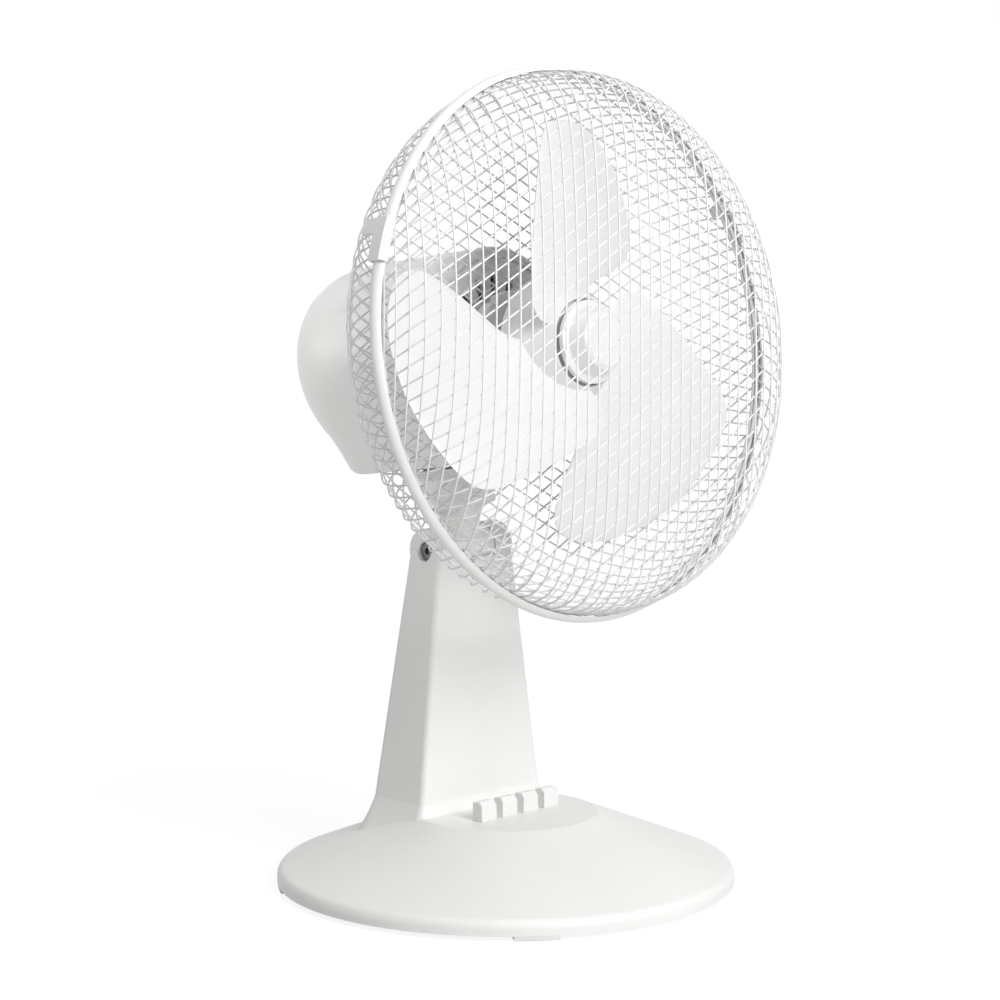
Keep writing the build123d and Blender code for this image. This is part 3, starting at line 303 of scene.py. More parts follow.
def guardTree(name, profile, material):
    tree, inputs = startTree(
        name,
        (
            ("Wire", "NodeSocketFloat"),
            ("Rim Wire", "NodeSocketFloat"),
            ("Pitch", "NodeSocketFloat"),
            ("Turn A", "NodeSocketFloat"),
            ("Turn B", "NodeSocketFloat"),
            ("Bore", "NodeSocketFloat"),
            ("Wires", "NodeSocketInt"),
            ("Segments", "NodeSocketInt"),
        ),
    )
    outer = profile[-1][0] * mm
    deepest = max(abs(s) for r, s in profile) * mm
    sign = 1 if profile[0][1] > 0 else -1
    # way over the bowl from its middle to each point of the profile
    ways = [0.0]
    for (r1, s1), (r2, s2) in zip(profile, profile[1:]):
        ways.append(ways[-1] + math.hypot(r2 - r1, s2 - s1) * mm)
    span = ways[-1]
    shares = {
        "radius": [(way / span, r * mm / outer) for way, (r, s) in zip(ways, profile)],
        "depth": [(way / span, abs(s) * mm / deepest) for way, (r, s) in zip(ways, profile)],
    }
    gauge = addNode(tree, "GeometryNodeCurvePrimitiveCircle", {"Resolution": wireSet["sides"]})
    thin = addNode(tree, "ShaderNodeMath", {0: inputs["Wire"], 1: 0.5}, operation="MULTIPLY")
    tree.links.new(thin.outputs[0], gauge.inputs["Radius"])
    count = addNode(tree, "ShaderNodeMath", {0: inputs["Wires"], 1: 1}, operation="SUBTRACT")
    half = addNode(tree, "ShaderNodeMath", {0: count.outputs[0], 1: -0.5}, operation="MULTIPLY")
    edge = addNode(tree, "ShaderNodeMath", {0: half.outputs[0], 1: inputs["Pitch"]}, operation="MULTIPLY")
    first = addNode(tree, "ShaderNodeCombineXYZ", {"Y": edge.outputs[0]})
    step = addNode(tree, "ShaderNodeCombineXYZ", {"Y": inputs["Pitch"]})
    rows = addNode(
        tree,
        "GeometryNodeMeshLine",
        {"Count": inputs["Wires"], "Start Location": first.outputs[0], "Offset": step.outputs[0]},
    )
    strand = addNode(
        tree,
        "GeometryNodeMeshLine",
        {"Count": inputs["Segments"], "Start Location": (-1, 0, 0), "Offset": (1, 0, 0)},
        mode="END_POINTS",
    )
    laid = addNode(
        tree,
        "GeometryNodeInstanceOnPoints",
        {"Points": rows.outputs[0], "Instance": strand.outputs[0]},
    )
    flat = addNode(tree, "GeometryNodeRealizeInstances", {0: laid.outputs[0]})
    spot = addNode(tree, "ShaderNodeSeparateXYZ", {0: addNode(tree, "GeometryNodeInputPosition").outputs[0]})
    # points crowd towards the ends of a wire, where it bends
    ease = addNode(tree, "ShaderNodeMath", {0: spot.outputs["X"], 1: math.pi / 2}, operation="MULTIPLY")
    share = addNode(tree, "ShaderNodeMath", {0: ease.outputs[0]}, operation="SINE")
    square = addNode(
        tree,
        "ShaderNodeMath",
        {0: spot.outputs["Y"], 1: spot.outputs["Y"]},
        operation="MULTIPLY",
    )
    left = addNode(tree, "ShaderNodeMath", {0: span * span, 1: square.outputs[0]}, operation="SUBTRACT")
    chord = addNode(tree, "ShaderNodeMath", {0: left.outputs[0]}, operation="SQRT")
    along = addNode(tree, "ShaderNodeMath", {0: chord.outputs[0], 1: share.outputs[0]}, operation="MULTIPLY")
    plan = addNode(tree, "ShaderNodeCombineXYZ", {"X": along.outputs[0], "Y": spot.outputs["Y"]})
    way = addNode(tree, "ShaderNodeVectorMath", {0: plan.outputs[0]}, operation="LENGTH")
    part = addNode(tree, "ShaderNodeMath", {0: way.outputs["Value"], 1: span}, operation="DIVIDE")
    outward = addNode(tree, "ShaderNodeVectorMath", {0: plan.outputs[0]}, operation="NORMALIZE")
    bowl = {}
    for label, points in shares.items():
        bowl[label] = addNode(tree, "ShaderNodeFloatCurve", {"Value": part.outputs[0]})
        line = bowl[label].mapping.curves[0]
        line.points[0].location = points[0]
        line.points[1].location = points[-1]
        for point in points[1:-1]:
            line.points.new(*point)
        for point in line.points:
            point.handle_type = "AUTO_CLAMPED"
        bowl[label].mapping.update()
    depth = addNode(tree, "ShaderNodeMath", {0: bowl["depth"].outputs[0], 1: deepest}, operation="MULTIPLY")
    drawn = []
    for level, turn in enumerate(("Turn A", "Turn B")):
        # the second layer lies inside the first by one wire
        gap = wireSet["layerGap"] * level
        inset = addNode(tree, "ShaderNodeMath", {0: inputs["Wire"], 1: gap}, operation="MULTIPLY")
        reach = addNode(tree, "ShaderNodeMath", {0: outer, 1: inset.outputs[0]}, operation="SUBTRACT")
        radius = addNode(
            tree,
            "ShaderNodeMath",
            {0: bowl["radius"].outputs[0], 1: reach.outputs[0]},
            operation="MULTIPLY",
        )
        lower = addNode(
            tree,
            "ShaderNodeMath",
            {0: depth.outputs[0], 1: inset.outputs[0]},
            operation="SUBTRACT",
        )
        raised = addNode(tree, "ShaderNodeMath", {0: lower.outputs[0], 1: sign}, operation="MULTIPLY")
        rise = addNode(tree, "ShaderNodeCombineXYZ", {"Z": raised.outputs[0]})
        ringed = addNode(
            tree,
            "ShaderNodeVectorMath",
            {0: outward.outputs[0], "Scale": radius.outputs[0]},
            operation="SCALE",
        )
        bent = addNode(
            tree,
            "ShaderNodeVectorMath",
            {0: ringed.outputs[0], 1: rise.outputs[0]},
            operation="ADD",
        )
        inside = addNode(
            tree,
            "ShaderNodeMath",
            {0: radius.outputs[0], 1: inputs["Bore"]},
            operation="LESS_THAN",
        )
        kept = addNode(
            tree,
            "GeometryNodeDeleteGeometry",
            {"Geometry": flat.outputs[0], "Selection": inside.outputs[0]},
            domain="POINT",
        )
        shaped = addNode(
            tree,
            "GeometryNodeSetPosition",
            {"Geometry": kept.outputs[0], "Position": bent.outputs[0]},
        )
        path = addNode(tree, "GeometryNodeMeshToCurve", {"Mesh": shaped.outputs[0]})
        tube = addNode(
            tree,
            "GeometryNodeCurveToMesh",
            {"Curve": path.outputs[0], "Profile Curve": gauge.outputs[0], "Fill Caps": True},
        )
        heading = addNode(tree, "ShaderNodeCombineXYZ", {"Z": inputs[turn]})
        turned = addNode(
            tree,
            "GeometryNodeTransform",
            {"Geometry": tube.outputs[0], "Rotation": heading.outputs[0]},
        )
        drawn.append(turned.outputs[0])
    rimThin = addNode(tree, "ShaderNodeMath", {0: inputs["Rim Wire"], 1: 0.5}, operation="MULTIPLY")
    rimRadius = addNode(tree, "ShaderNodeMath", {0: outer, 1: rimThin.outputs[0]}, operation="SUBTRACT")
    rim = addNode(
        tree,
        "GeometryNodeCurvePrimitiveCircle",
        {"Resolution": wireSet["rimPoints"], "Radius": rimRadius.outputs[0]},
    )
    rimGauge = addNode(
        tree,
        "GeometryNodeCurvePrimitiveCircle",
        {"Resolution": wireSet["rimSides"], "Radius": rimThin.outputs[0]},
    )
    rimTube = addNode(
        tree,
        "GeometryNodeCurveToMesh",
        {"Curve": rim.outputs[0], "Profile Curve": rimGauge.outputs[0]},
    )
    rimPlace = addNode(
        tree,
        "GeometryNodeTransform",
        {"Geometry": rimTube.outputs[0], "Translation": (0, 0, profile[-1][1] * mm)},
    )
    joined = addNode(tree, "GeometryNodeJoinGeometry")
    for layer in drawn + [rimPlace.outputs[0]]:
        tree.links.new(layer, joined.inputs[0])
    endTree(tree, joined.outputs[0], hubPoint, headTurn, material)
    return tree


for pieceName, cadNode, guardSet in (
    ("frontGuardWires", "front_guard", frontGuardSet),
    ("rearGuardWires", "rear_guard", rearGuardSet),
):
    tree = guardTree(pieceName + "Nodes", guardSet["profile"], materials["white_wire"])
    guard = bakePiece(
        pieceName,
        tree,
        {
            "Wire": guardSet["wire"] * mm,
            "Rim Wire": guardSet["rimWire"] * mm,
            "Pitch": guardSet["pitch"] * mm,
            "Turn A": math.radians(guardSet["turns"][0]),
            "Turn B": math.radians(guardSet["turns"][1]),
            "Bore": guardSet["bore"] * mm,
            "Wires": guardSet["wires"],
            "Segments": wireSet["points"],
        },
        wireSet["hardEdge"],
    )
    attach(guard, "head")
    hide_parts(cadNode)
    print(pieceName, "made with", len(guard.data.polygons), "faces")

# fan: three leaf-shaped blades of a curved sheet with thinned edges, round a hollow hub
fanSet = {
    "blades": 3,
    "outline": (
        (-47.0, 24.0), (-41.0, 66.0), (-32.0, 98.0), (-21.0, 126.0), (-4.0, 135.5), (27.0, 134.3),
        (55.0, 124.5), (82.0, 102.5), (96.5, 74.0), (92.0, 54.0), (70.0, 44.5), (36.0, 38.0),
    ),
    "root": ((22.0, 29.5), (12.0, 32.5), (0.0, 32.0), (-12.0, 27.5), (-25.5, 13.0)),
    "bendLine": ((-41.0, 23.0), (18.0, 106.0)),
    "bend": ((-14.0, 14.2), (68.0, -12.4), (150.0, -46.5)),
    "thick": 2.2,
    "loopSteps": 5,
    # share of the way to the edge, share of the thickness left there
    "rings": (
        (0.0, 1.0), (0.3, 1.0), (0.55, 1.0), (0.75, 1.0),
        (0.88, 0.95), (0.95, 0.8), (0.985, 0.55), (1.0, 0.25),
    ),
    "hub": (
        (40.6, -24.0), (43.0, -24.0), (42.6, -21.5), (40.0, -12.0), (28.6, 5.8),
        (28.1, 6.9), (27.6, 7.2), (27.1, 6.9), (26.3, 5.7), (26.2, 3.6),
        (10.0, 3.6), (10.0, 2.0), (24.6, 2.0), (37.6, -12.6), (40.6, -24.0),
    ),
    "hubSteps": 96,
    "sleeve": ((4.1, 8.4), (9.8, 8.4), (10.0, 8.2), (10.0, -17.5), (4.1, -17.5), (4.1, 8.4)),
    "sleeveSteps": 32,
    "ribs": 6,
    "ribSize": (18.0, 2.0, 15.0),
    "ribPlace": (18.0, 0.0, -5.0),
    "hardEdge": 40,
}


# height of the sheet over a point of the fan's plane: an arc across the bend line
def sheetHeight(x, y):
    (lowX, lowY), (dirX, dirY) = fanSet["bendLine"]
    size = math.hypot(dirX, dirY)
    away = (x - lowX) * dirY / size - (y - lowY) * dirX / size
    (x1, y1), (x2, y2), (x3, y3) = fanSet["bend"]
    turn = 2 * (x1 * (y2 - y3) + x2 * (y3 - y1) + x3 * (y1 - y2))
    squares = (x1 * x1 + y1 * y1, x2 * x2 + y2 * y2, x3 * x3 + y3 * y3)
    midX = (squares[0] * (y2 - y3) + squares[1] * (y3 - y1) + squares[2] * (y1 - y2)) / turn
    midY = (squares[0] * (x3 - x2) + squares[1] * (x1 - x3) + squares[2] * (x2 - x1)) / turn
    radius = math.hypot(x1 - midX, y1 - midY)
    return midY + math.copysign(math.sqrt(radius * radius - (away - midX) ** 2), y2 - midY)


# closed smooth line through points, as a Catmull-Rom curve
def smoothLoop(points, steps):
    line = []
    for i in range(len(points)):
        a, b, c, d = (Vector(points[(i + k) % len(points)]) for k in (-1, 0, 1, 2))
        for k in range(steps):
            t = k / steps
            bend = 2 * a - 5 * b + 4 * c - d
            twist = 3 * b - a - 3 * c + d
            line.append(0.5 * (2 * b + (c - a) * t + bend * t * t + twist * t ** 3))
    return line


def bladeMesh():
    loop = smoothLoop(fanSet["outline"] + fanSet["root"], fanSet["loopSteps"])
    middle = sum(loop, Vector((0, 0))) / len(loop)
    form = bmesh.new()
    rims = []
    for face in (1, -1):
        rows = []
        for part, fat in fanSet["rings"]:
            row = []
            for point in loop if part else loop[:1]:
                spot = middle.lerp(point, part)
                height = sheetHeight(spot.x, spot.y) + fanSet["thick"] * 0.5 * (face * fat - 1)
                row.append(form.verts.new((spot.x * mm, spot.y * mm, height * mm)))
            rows.append(row)
        for i in range(len(loop)):
            form.faces.new((rows[0][0], rows[1][i], rows[1][(i + 1) % len(loop)]))
        joinRings(form, rows[1:])
        rims.append(rows[-1])
    joinRings(form, rims)
    return meshFromForm("bladeShape", form)


def fanTree(name, material):
    tree, inputs = startTree(
        name,
        (
            ("Blade", "NodeSocketObject"),
            ("Hub", "NodeSocketObject"),
            ("Sleeve", "NodeSocketObject"),
            ("Blades", "NodeSocketInt"),
            ("Ribs", "NodeSocketInt"),
            ("Rib Size", "NodeSocketVector"),
            ("Rib Place", "NodeSocketVector"),
        ),
    )
    blade = addNode(tree, "GeometryNodeObjectInfo", {"Object": inputs["Blade"]}).outputs["Geometry"]
    block = addNode(tree, "GeometryNodeMeshCube", {"Size": inputs["Rib Size"]})
    rib = addNode(
        tree,
        "GeometryNodeTransform",
        {"Geometry": block.outputs[0], "Translation": inputs["Rib Place"]},
    ).outputs[0]
    joined = addNode(tree, "GeometryNodeJoinGeometry")
    for shape, many in ((blade, inputs["Blades"]), (rib, inputs["Ribs"])):
        spots = addNode(tree, "GeometryNodeMeshLine", {"Count": many, "Offset": (0, 0, 0)})
        step = addNode(tree, "ShaderNodeMath", {0: 2 * math.pi, 1: many}, operation="DIVIDE")
        order = addNode(tree, "GeometryNodeInputIndex").outputs[0]
        angle = addNode(tree, "ShaderNodeMath", {0: order, 1: step.outputs[0]}, operation="MULTIPLY")
        turn = addNode(tree, "ShaderNodeCombineXYZ", {"Z": angle.outputs[0]})
        around = addNode(
            tree,
            "GeometryNodeInstanceOnPoints",
            {"Points": spots.outputs[0], "Instance": shape, "Rotation": turn.outputs[0]},
        )
        tree.links.new(around.outputs[0], joined.inputs[0])
    for label in ("Hub", "Sleeve"):
        solid = addNode(tree, "GeometryNodeObjectInfo", {"Object": inputs[label]})
        tree.links.new(solid.outputs["Geometry"], joined.inputs[0])
    endTree(tree, joined.outputs[0], hubPoint, headTurn, material)
    return tree


fan = bakePiece(
    "fanMoulding",
    fanTree("fanNodes", materials["fan_plastic"]),
    {
        "Blade": spareShape("bladeShape", bladeMesh()),
        "Hub": spareShape("hubShape", turnProfile("hubShape", fanSet["hub"], fanSet["hubSteps"])),
        "Sleeve": spareShape(
            "sleeveShape",
            turnProfile("sleeveShape", fanSet["sleeve"], fanSet["sleeveSteps"]),
        ),
        "Blades": fanSet["blades"],
        "Ribs": fanSet["ribs"],
        "Rib Size": [side * mm for side in fanSet["ribSize"]],
        "Rib Place": [shift * mm for shift in fanSet["ribPlace"]],
    },
    fanSet["hardEdge"],
)
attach(fan, "rotor")
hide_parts("fan_blade")
print("fan made with", len(fan.data.polygons), "faces")

# rear housing: a domed cup whose underside swells into a flat-bottomed keel over the neck
housingSet = {
    "stations": (-80.0, -110.0, -140.0, -158.0),
    "rear": -212.0,
    "radius": 67.0,
    "dome": 48.0,
    "skin": 2.5,
    "keelFoot": (38.2, -66.5),
    "keelTop": (50.2, -44.4),
    "keelFade": (-195.0, -183.0),
    "lean": 0.14,
    "leanFrom": -150.0,
    "leanTo": -200.0,
    "columns": 120,
    "domeStep": 3,
    "screwHole": 1.8,
    "neckStation": -121.0,
    "neckHole": 21.0,
    "footSlot": (15.0, -150.0),
    "footDepth": (-85.0, -59.5),
    "slotHeights": (12.0, -12.0),
    "slotSize": (26.0, 3.0),
    "slotDepth": (-218.0, -204.0),
    "keyholeSteps": 32,
    "slotSteps": 16,
    "hardEdge": 32,
}


# how far the keel stands out of the round cup in one direction round the shaft
def keelSwell(angle):
    (footX, footY), (topX, topY) = housingSet["keelFoot"], housingSet["keelTop"]
    dirX, dirY = abs(math.cos(angle)), math.sin(angle)
    if dirY >= 0:
        return 0.0
    reach = footY / dirY
    if reach * dirX > footX:
        edgeX, edgeY = topX - footX, topY - footY
        reach = (footX * edgeY - footY * edgeX) / (dirX * edgeY - dirY * edgeX)
        if reach * dirY > topY:
            return 0.0
    return max(0.0, reach - housingSet["radius"])


# smooth step from 0 at start to 1 at end
def easeBetween(value, start, end):
    share = min(1.0, max(0.0, (value - start) / (end - start)))
    return share * share * (3 - 2 * share)


# stations and radii from the front rim over the dome to the screw hole
def housingRows(skin):
    radius, dome = housingSet["radius"] - skin, housingSet["dome"] - skin
    middle = housingSet["rear"] + housingSet["dome"]
    rows = [(s, radius) for s in housingSet["stations"]]
    for step in range(0, 90 + housingSet["domeStep"], housingSet["domeStep"]):
        angle = math.radians(step)
        rows.append((middle - dome * math.sin(angle), radius - dome + dome * math.cos(angle)))
    rows.append((middle - dome, housingSet["screwHole"]))
    return rows


# closed prism over an outline; axes says which head axis outline x, outline y and depth follow
def addPrism(form, outline, depth, axes):
    ends = []
    for level in depth:
        ring = []
        for a, b in outline:
            place = [0.0, 0.0, 0.0]
            for axis, value in zip(axes, (a, b, level)):
                place[axis] = value * mm
            ring.append(form.verts.new(place))
        ends.append(ring)
    form.faces.new(ends[0])
    form.faces.new(list(reversed(ends[1])))
    joinRings(form, ends)


# cuts one mesh out of another and gives a new plain mesh
def cutMesh(name, mesh, cutterMesh):
    body = spareShape(name, mesh)
    cutter = spareShape(name + "Cutter", cutterMesh)
    for item in (body, cutter):
        scene.collection.objects.link(item)
    cut = body.modifiers.new("cut", "BOOLEAN")
    cut.operation = "DIFFERENCE"
    cut.solver = "EXACT"
    cut.use_self = True
    cut.object = cutter
    bpy.context.view_layer.update()
    result = bpy.data.meshes.new_from_object(body.evaluated_get(bpy.context.evaluated_depsgraph_get()))
    for item in (body, cutter):
        bpy.data.objects.remove(item)
    return result


def housingMesh():
    columns = [2 * math.pi * k / housingSet["columns"] for k in range(housingSet["columns"])]
    swells = [keelSwell(angle) for angle in columns]
    fadeEnd, fadeStart = housingSet["keelFade"]
    form = bmesh.new()
    rings = []
    for s, radius in housingRows(0.0) + list(reversed(housingRows(housingSet["skin"]))):
        fade = easeBetween(s, fadeEnd, fadeStart)
        # towards the back the cup leans, its top reaching further back than its foot
        lean = housingSet["lean"] * easeBetween(s, housingSet["leanFrom"], housingSet["leanTo"])
        ring = []
        for angle, swell in zip(columns, swells):
            reach = (radius + swell * fade) * mm
            height = reach * math.sin(angle)
            ring.append(form.verts.new((reach * math.cos(angle), height, s * mm - lean * height)))
        rings.append(ring)
    joinRings(form, rings + rings[:1])
    shell = meshFromForm("rearHousing", form)
    cutters = bmesh.new()
    # keyhole under the cup for the neck and the swivel foot
    hole = housingSet["neckHole"]
    slotX, slotEnd = housingSet["footSlot"]
    start = math.asin(slotX / hole)
    keyhole = [(slotX, slotEnd), (-slotX, slotEnd)]
    for k in range(housingSet["keyholeSteps"] + 1):
        turn = -math.pi / 2 - start - (2 * math.pi - 2 * start) * k / housingSet["keyholeSteps"]
        keyhole.append((hole * math.cos(turn), housingSet["neckStation"] + hole * math.sin(turn)))
    addPrism(cutters, keyhole, housingSet["footDepth"], (0, 2, 1))
    # two cooling slots with round ends beside the screw in the back
    long, wide = housingSet["slotSize"]
    for height in housingSet["slotHeights"]:
        outline = []
        for k in range(housingSet["slotSteps"]):
            turn = 2 * math.pi * (k + 0.5) / housingSet["slotSteps"]
            shift = math.copysign((long - wide) / 2, math.cos(turn))
            outline.append((shift + wide / 2 * math.cos(turn), height + wide / 2 * math.sin(turn)))
        addPrism(cutters, outline, housingSet["slotDepth"], (0, 1, 2))
    mesh = cutMesh("rearHousing", shell, meshFromForm("housingCuts", cutters))
    mesh.transform(Matrix.Translation(hubPoint) @ Euler(headTurn).to_matrix().to_4x4())
    mesh.shade_smooth()
    mesh.set_sharp_from_angle(angle=math.radians(housingSet["hardEdge"]))
    mesh.materials.clear()
    mesh.materials.append(materials["white_plastic"])
    return mesh


housing = bpy.data.objects.new("rearHousing", housingMesh())
scene.collection.objects.link(housing)
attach(housing, "head")
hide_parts("rear_housing")
print("rear housing made with", len(housing.data.polygons), "faces")

# cord inlet: copies of the CAD shell and bush with the sleeve pressed level with the sloping base
inletSet = {
    "slope": ((100.0, 29.18), (140.0, 13.18)),
    "axis": 12.19,
    "reach": (110.0, 146.0),
    "sleeve": 7.0,
    "slack": 0.05,
    # faces this much alike with the slope, as a cosine, are shaded with it
    "alike": 0.95,
    # piece, node, slot, radius that parts bore and outside, depth under the slope outside and in the bore
    "rows": (
        ("standShell", "stand_shell", "white_plastic", 5.4, 0.0, 1.0),
        ("inletBush", "cord_bush", "grey_rubber", 3.9, 1.1, 1.8),
    ),
}


# points over the slope are lowered to it; their faces are shaded anew and all others keep their normals
def pressedMesh(name, source, split, outside, inside):
    (r1, z1), (r2, z2) = inletSet["slope"]
    fall = (z2 - z1) / (r2 - r1)
    upright = 1 / math.hypot(1, fall)
    mesh = source.data.copy()
    mesh.name = name
    normals = [Vector(corner.vector) for corner in mesh.corner_normals]
    moved = set()
    for vertex in mesh.vertices:
        x, y, z = vertex.co / mm
        away = math.hypot(x, z - inletSet["axis"])
        if away > inletSet["sleeve"] or not inletSet["reach"][0] < y < inletSet["reach"][1]:
            continue
        level = z1 + (math.hypot(x, y) - r1) * fall - (inside if away < split else outside)
        if z > level + inletSet["slack"]:
            vertex.co.z = level * mm
            moved.add(vertex.index)
    mesh.update()
    for face in mesh.polygons:
        if moved.isdisjoint(face.vertices):
            continue
        for corner in face.loop_indices:
            spot = mesh.vertices[mesh.loops[corner].vertex_index].co
            slope = Vector((spot.x, spot.y, 0)).normalized() * -fall * upright + Vector((0, 0, upright))
            normals[corner] = slope if slope.dot(face.normal) > inletSet["alike"] else face.normal.copy()
    mesh.normals_split_custom_set(normals)
    print(name, "pressed at", len(moved), "points")
    return mesh


for pieceName, cadNode, slotName, split, outside, inside in inletSet["rows"]:
    mesh = pressedMesh(pieceName, nodes[cadNode], split, outside, inside)
    pressed = bpy.data.objects.new(pieceName, mesh)
    scene.collection.objects.link(pressed)
    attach(pressed, "stand")
    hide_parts(cadNode)

# screws: pan heads with a cross recess, in rings or rows
screwSet = {
    "head": 3.4,
    "headHeight": 1.8,
    # shares of the head's radius and height, from its top to its seat
    "crown": ((0, 1), (0.55, 0.97), (0.82, 0.8), (0.96, 0.5), (1, 0.15), (1, 0)),
    "shank": 1.5,
    "sides": 24,
    "recess": (3.6, 0.9, 1.1),
    # further turn from screw to screw in radians, so no two of a set stop at the same angle
    "stop": 2.4,
    "hardEdge": 35,
    # piece, node, body, count, ring radius, start angle, shank length, place, facing
    "rows": (
        ("plateScrews", "base_screws", "stand", 4, 105.0, 7.0, 13.5, (0, 0, 3.0), "under"),
        ("ballastScrews", "ballast_screws", "stand", 3, 76.125, 30.0, 8.5, (0, 0, 3.0), "under"),
        ("switchScrews", "switch_screws", "stand", 2, 28.0, 0.0, 10.5, (0, -9.0, 3.0), "under"),
        ("coverScrews", "cover_screws", "head", 4, 40.0, 45.0, 20.5, (0, 0, -66.5), "front"),
        ("housingScrew", "housing_screw", "head", 1, 0.0, 0.0, 19.5, (0, 0, -212.0), "back"),
    ),
}


def screwMesh(name, shankLength):
    r, h, w = screwSet["head"], screwSet["headHeight"], screwSet["shank"]
    profile = [(r * a, h * b) for a, b in screwSet["crown"]]
    profile += [(w, 0), (w, -shankLength + w), (0, -shankLength)]
    long, wide, deep = screwSet["recess"]
    form = bmesh.new()
    for size in ((long, wide), (wide, long)):
        made = bmesh.ops.create_cube(form, size=1.0)
        bmesh.ops.scale(form, vec=(size[0] * mm, size[1] * mm, 2 * deep * mm), verts=made["verts"])
        bmesh.ops.translate(form, vec=(0, 0, h * mm), verts=made["verts"])
    screw = turnProfile(name, profile, screwSet["sides"])
    return cutMesh(name, screw, meshFromForm(name + "Cross", form))


# one shape repeated in a ring, each copy turned with its place and by a further stop
def ringTree(name, place, turn, material):
    tree, inputs = startTree(
        name,
        (
            ("Shape", "NodeSocketObject"),
            ("Count", "NodeSocketInt"),
            ("Ring", "NodeSocketFloat"),
            ("Start", "NodeSocketFloat"),
            ("Stop", "NodeSocketFloat"),
        ),
    )
    shape = addNode(tree, "GeometryNodeObjectInfo", {"Object": inputs["Shape"]}).outputs["Geometry"]
    spots = addNode(tree, "GeometryNodeMeshLine", {"Count": inputs["Count"], "Offset": (0, 0, 0)})
    step = addNode(tree, "ShaderNodeMath", {0: 2 * math.pi, 1: inputs["Count"]}, operation="DIVIDE")
    order = addNode(tree, "GeometryNodeInputIndex").outputs[0]
    angle = addNode(
        tree,
        "ShaderNodeMath",
        {0: order, 1: step.outputs[0], 2: inputs["Start"]},
        operation="MULTIPLY_ADD",
    ).outputs[0]
    out = addNode(tree, "ShaderNodeCombineXYZ", {"X": inputs["Ring"]})
    spot = addNode(
        tree,
        "ShaderNodeVectorRotate",
        {"Vector": out.outputs[0], "Angle": angle},
        rotation_type="Z_AXIS",
    )
    ring = addNode(
        tree,
        "GeometryNodeSetPosition",
        {"Geometry": spots.outputs[0], "Position": spot.outputs[0]},
    )
    stop = addNode(
        tree,
        "ShaderNodeMath",
        {0: order, 1: inputs["Stop"], 2: angle},
        operation="MULTIPLY_ADD",
    )
    spin = addNode(tree, "ShaderNodeCombineXYZ", {"Z": stop.outputs[0]})
    driven = addNode(
        tree,
        "GeometryNodeInstanceOnPoints",
        {"Points": ring.outputs[0], "Instance": shape, "Rotation": spin.outputs[0]},
    )
    endTree(tree, driven.outputs[0], place, turn, material)
    return tree


# a row seen from under the base is turned over, so its start angle is mirrored
facings = {"under": ((math.pi, 0, 0), -1), "front": (headTurn, 1), "back": (backTurn, 1)}
for pieceName, cadNode, body, count, ring, start, shank, spot, facing in screwSet["rows"]:
    turn, mirror = facings[facing]
    place = Vector(spot) * mm
    if facing != "under":
        place = hubPoint + Vector(spinJoint["axis"]) * spot[2] * mm
    screws = bakePiece(
        pieceName,
        ringTree(pieceName + "Nodes", place, turn, materials["steel"]),
        {
            "Shape": spareShape(pieceName + "Shape", screwMesh(pieceName + "Shape", shank)),
            "Count": count,
            "Ring": ring * mm,
            "Start": math.radians(start) * mirror,
            "Stop": screwSet["stop"],
        },
        screwSet["hardEdge"],
    )
    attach(screws, body)
    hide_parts(cadNode)
print("screws made:", len(screwSet["rows"]), "sets")

# feet: lugs level with the wall of the rim and rounded towards the middle of the base
footSet = {
    "count": 4,
    "start": 52.0,
    "rim": 144.6,
    "halfWidth": 14.0,
    "inner": 117.0,
    # height and how far the outline is drawn in there
    "levels": ((3.0, 0.0), (0.7, 0.0), (0.2, 0.25), (0.0, 0.7)),
    "steps": 16,
    "hardEdge": 35,
}


def lugMesh():
    form = bmesh.new()
    rings = []
    steps = footSet["steps"]
    for height, inset in footSet["levels"]:
        rim, half = footSet["rim"] - inset, footSet["halfWidth"] - inset
        sweep = math.asin(half / rim)
        middle = footSet["inner"] + footSet["halfWidth"]
        outline = []
        for k in range(steps + 1):
            angle = sweep * (2 * k / steps - 1)
            outline.append((rim * math.cos(angle), rim * math.sin(angle)))
        for k in range(steps + 1):
            angle = math.pi * (k / steps + 0.5)
            outline.append((middle + half * math.cos(angle), half * math.sin(angle)))
        rings.append([form.verts.new((x * mm, y * mm, height * mm)) for x, y in outline])
    joinRings(form, rings)
    form.faces.new(rings[0])
    form.faces.new(list(reversed(rings[-1])))
    return meshFromForm("lugShape", form)


feet = bakePiece(
    "footLugs",
    ringTree("footNodes", (0, 0, 0), (0, 0, 0), materials["foot_rubber"]),
    {
        "Shape": spareShape("lugShape", lugMesh()),
        "Count": footSet["count"],
        "Ring": 0.0,
        "Start": math.radians(footSet["start"]),
        "Stop": 0.0,
    },
    footSet["hardEdge"],
)
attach(feet, "stand")
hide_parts("foot_pads")
print("feet made with", len(feet.data.polygons), "faces")

# studio: pale floor that fades to white, a large soft key from the front, a weak fill from above
# and a narrow beam on the side of the housing and the neck
studioSet = {
    "floor": "#DDDDDD",
    "floorHalf": 9.0,
    "floorShader": {"Roughness": 0.9, "Specular IOR Level": 0.1},
    "ambient": 0.30,
    "fadeFrom": 0.25,
    "fadeTo": 0.75,
    "nearGlow": 0.88,
    "nearTone": 0.16,
    "farTone": 0.02,
    # power in watts, place, size, aim and spread in degrees
    "lamps": {
        "key": (44.0, (-0.26, -2.05, 1.42), 1.4, (0, 0, 0.28), 180),
        "top": (11.5, (-0.1, 0.15, 2.3), 1.8, (0, 0, 0.28), 180),
        "side": (0.055, (-0.9, 0.9, 0.66), 0.2, (-0.03, 0.14, 0.33), 16),
    },
}


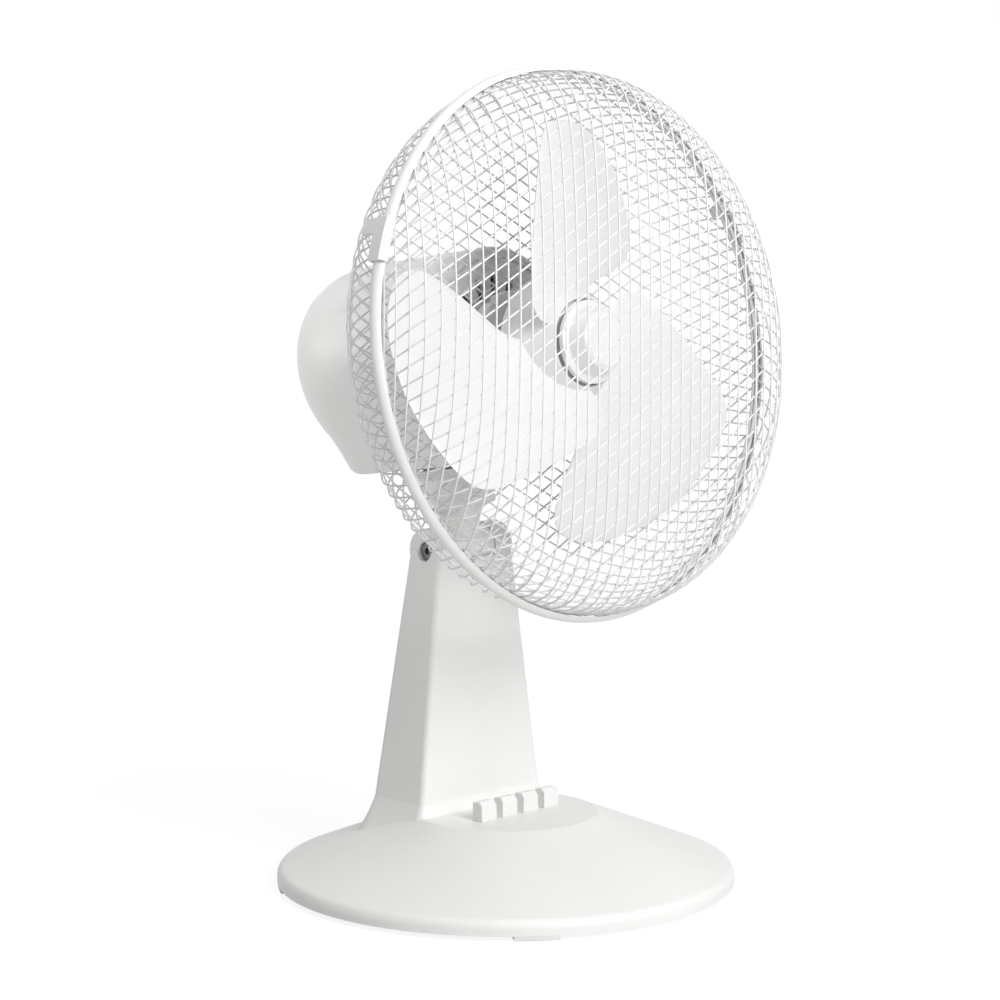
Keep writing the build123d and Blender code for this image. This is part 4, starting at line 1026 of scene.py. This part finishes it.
# 1 where a ray shows the floor or the sky itself: from the camera, in a reflection or through glass
def directRays(tree):
    rays = addNode(tree, "ShaderNodeLightPath").outputs
    shown = addNode(
        tree,
        "ShaderNodeMath",
        {0: rays["Is Camera Ray"], 1: rays["Is Glossy Ray"]},
        operation="MAXIMUM",
    )
    return addNode(
        tree,
        "ShaderNodeMath",
        {0: shown.outputs[0], 1: rays["Is Transmission Ray"]},
        operation="MAXIMUM",
    ).outputs[0]


half = studioSet["floorHalf"]
floorMesh = bpy.data.meshes.new("floor")
corners = [(-half, -half, 0), (half, -half, 0), (half, half, 0), (-half, half, 0)]
floorMesh.from_pydata(corners, [], [(0, 1, 2, 3)])
floor = bpy.data.objects.new("floor", floorMesh)
scene.collection.objects.link(floor)
floorMaterial, tree, surface = startMaterial("paleFloor", studioSet["floorShader"])
# shown directly, the floor is lifted to white and keeps its shadow
lift = directRays(tree)
away = addNode(
    tree,
    "ShaderNodeVectorMath",
    {0: addNode(tree, "ShaderNodeTexCoord").outputs["Object"]},
    operation="LENGTH",
).outputs["Value"]
fade = addNode(
    tree,
    "ShaderNodeMapRange",
    {"Value": away, "From Min": studioSet["fadeFrom"], "From Max": studioSet["fadeTo"]},
    interpolation_type="SMOOTHSTEP",
).outputs["Result"]
glow = addNode(tree, "ShaderNodeMapRange", {"Value": fade, "To Min": studioSet["nearGlow"], "To Max": 1.0})
strength = addNode(tree, "ShaderNodeMath", {0: lift, 1: glow.outputs["Result"]}, operation="MULTIPLY")
tree.links.new(strength.outputs[0], surface.inputs["Emission Strength"])
surface.inputs["Emission Color"].default_value = (1, 1, 1, 1)
dim = addNode(
    tree,
    "ShaderNodeMapRange",
    {"Value": fade, "To Min": studioSet["nearTone"], "To Max": studioSet["farTone"]},
)
tone = addNode(
    tree,
    "ShaderNodeMix",
    {"Factor": lift, "A": hexToLinear(studioSet["floor"])[0], "B": dim.outputs["Result"]},
    data_type="FLOAT",
)
tree.links.new(tone.outputs["Result"], surface.inputs["Base Color"])
floorMesh.materials.append(floorMaterial)

world = bpy.data.worlds.new("studio")
scene.world = world
world.use_nodes = True
tree = world.node_tree
tree.nodes.clear()
level = addNode(
    tree,
    "ShaderNodeMapRange",
    {"Value": directRays(tree), "To Min": studioSet["ambient"], "To Max": 1.0},
)
sky = addNode(tree, "ShaderNodeBackground", {"Color": (1, 1, 1, 1), "Strength": level.outputs["Result"]})
addNode(tree, "ShaderNodeOutputWorld", {"Surface": sky.outputs[0]})

for lampName, (power, place, size, target, spread) in studioSet["lamps"].items():
    lampData = bpy.data.lights.new(lampName + "Light", "AREA")
    lampData.energy = power
    lampData.shape = "DISK"
    lampData.size = size
    lampData.spread = math.radians(spread)
    lamp = bpy.data.objects.new(lampName + "Light", lampData)
    lamp.location = place
    aim = Vector(target) - lamp.location
    lamp.rotation_euler = aim.to_track_quat("-Z", "Y").to_euler()
    scene.collection.objects.link(lamp)
print("studio set")
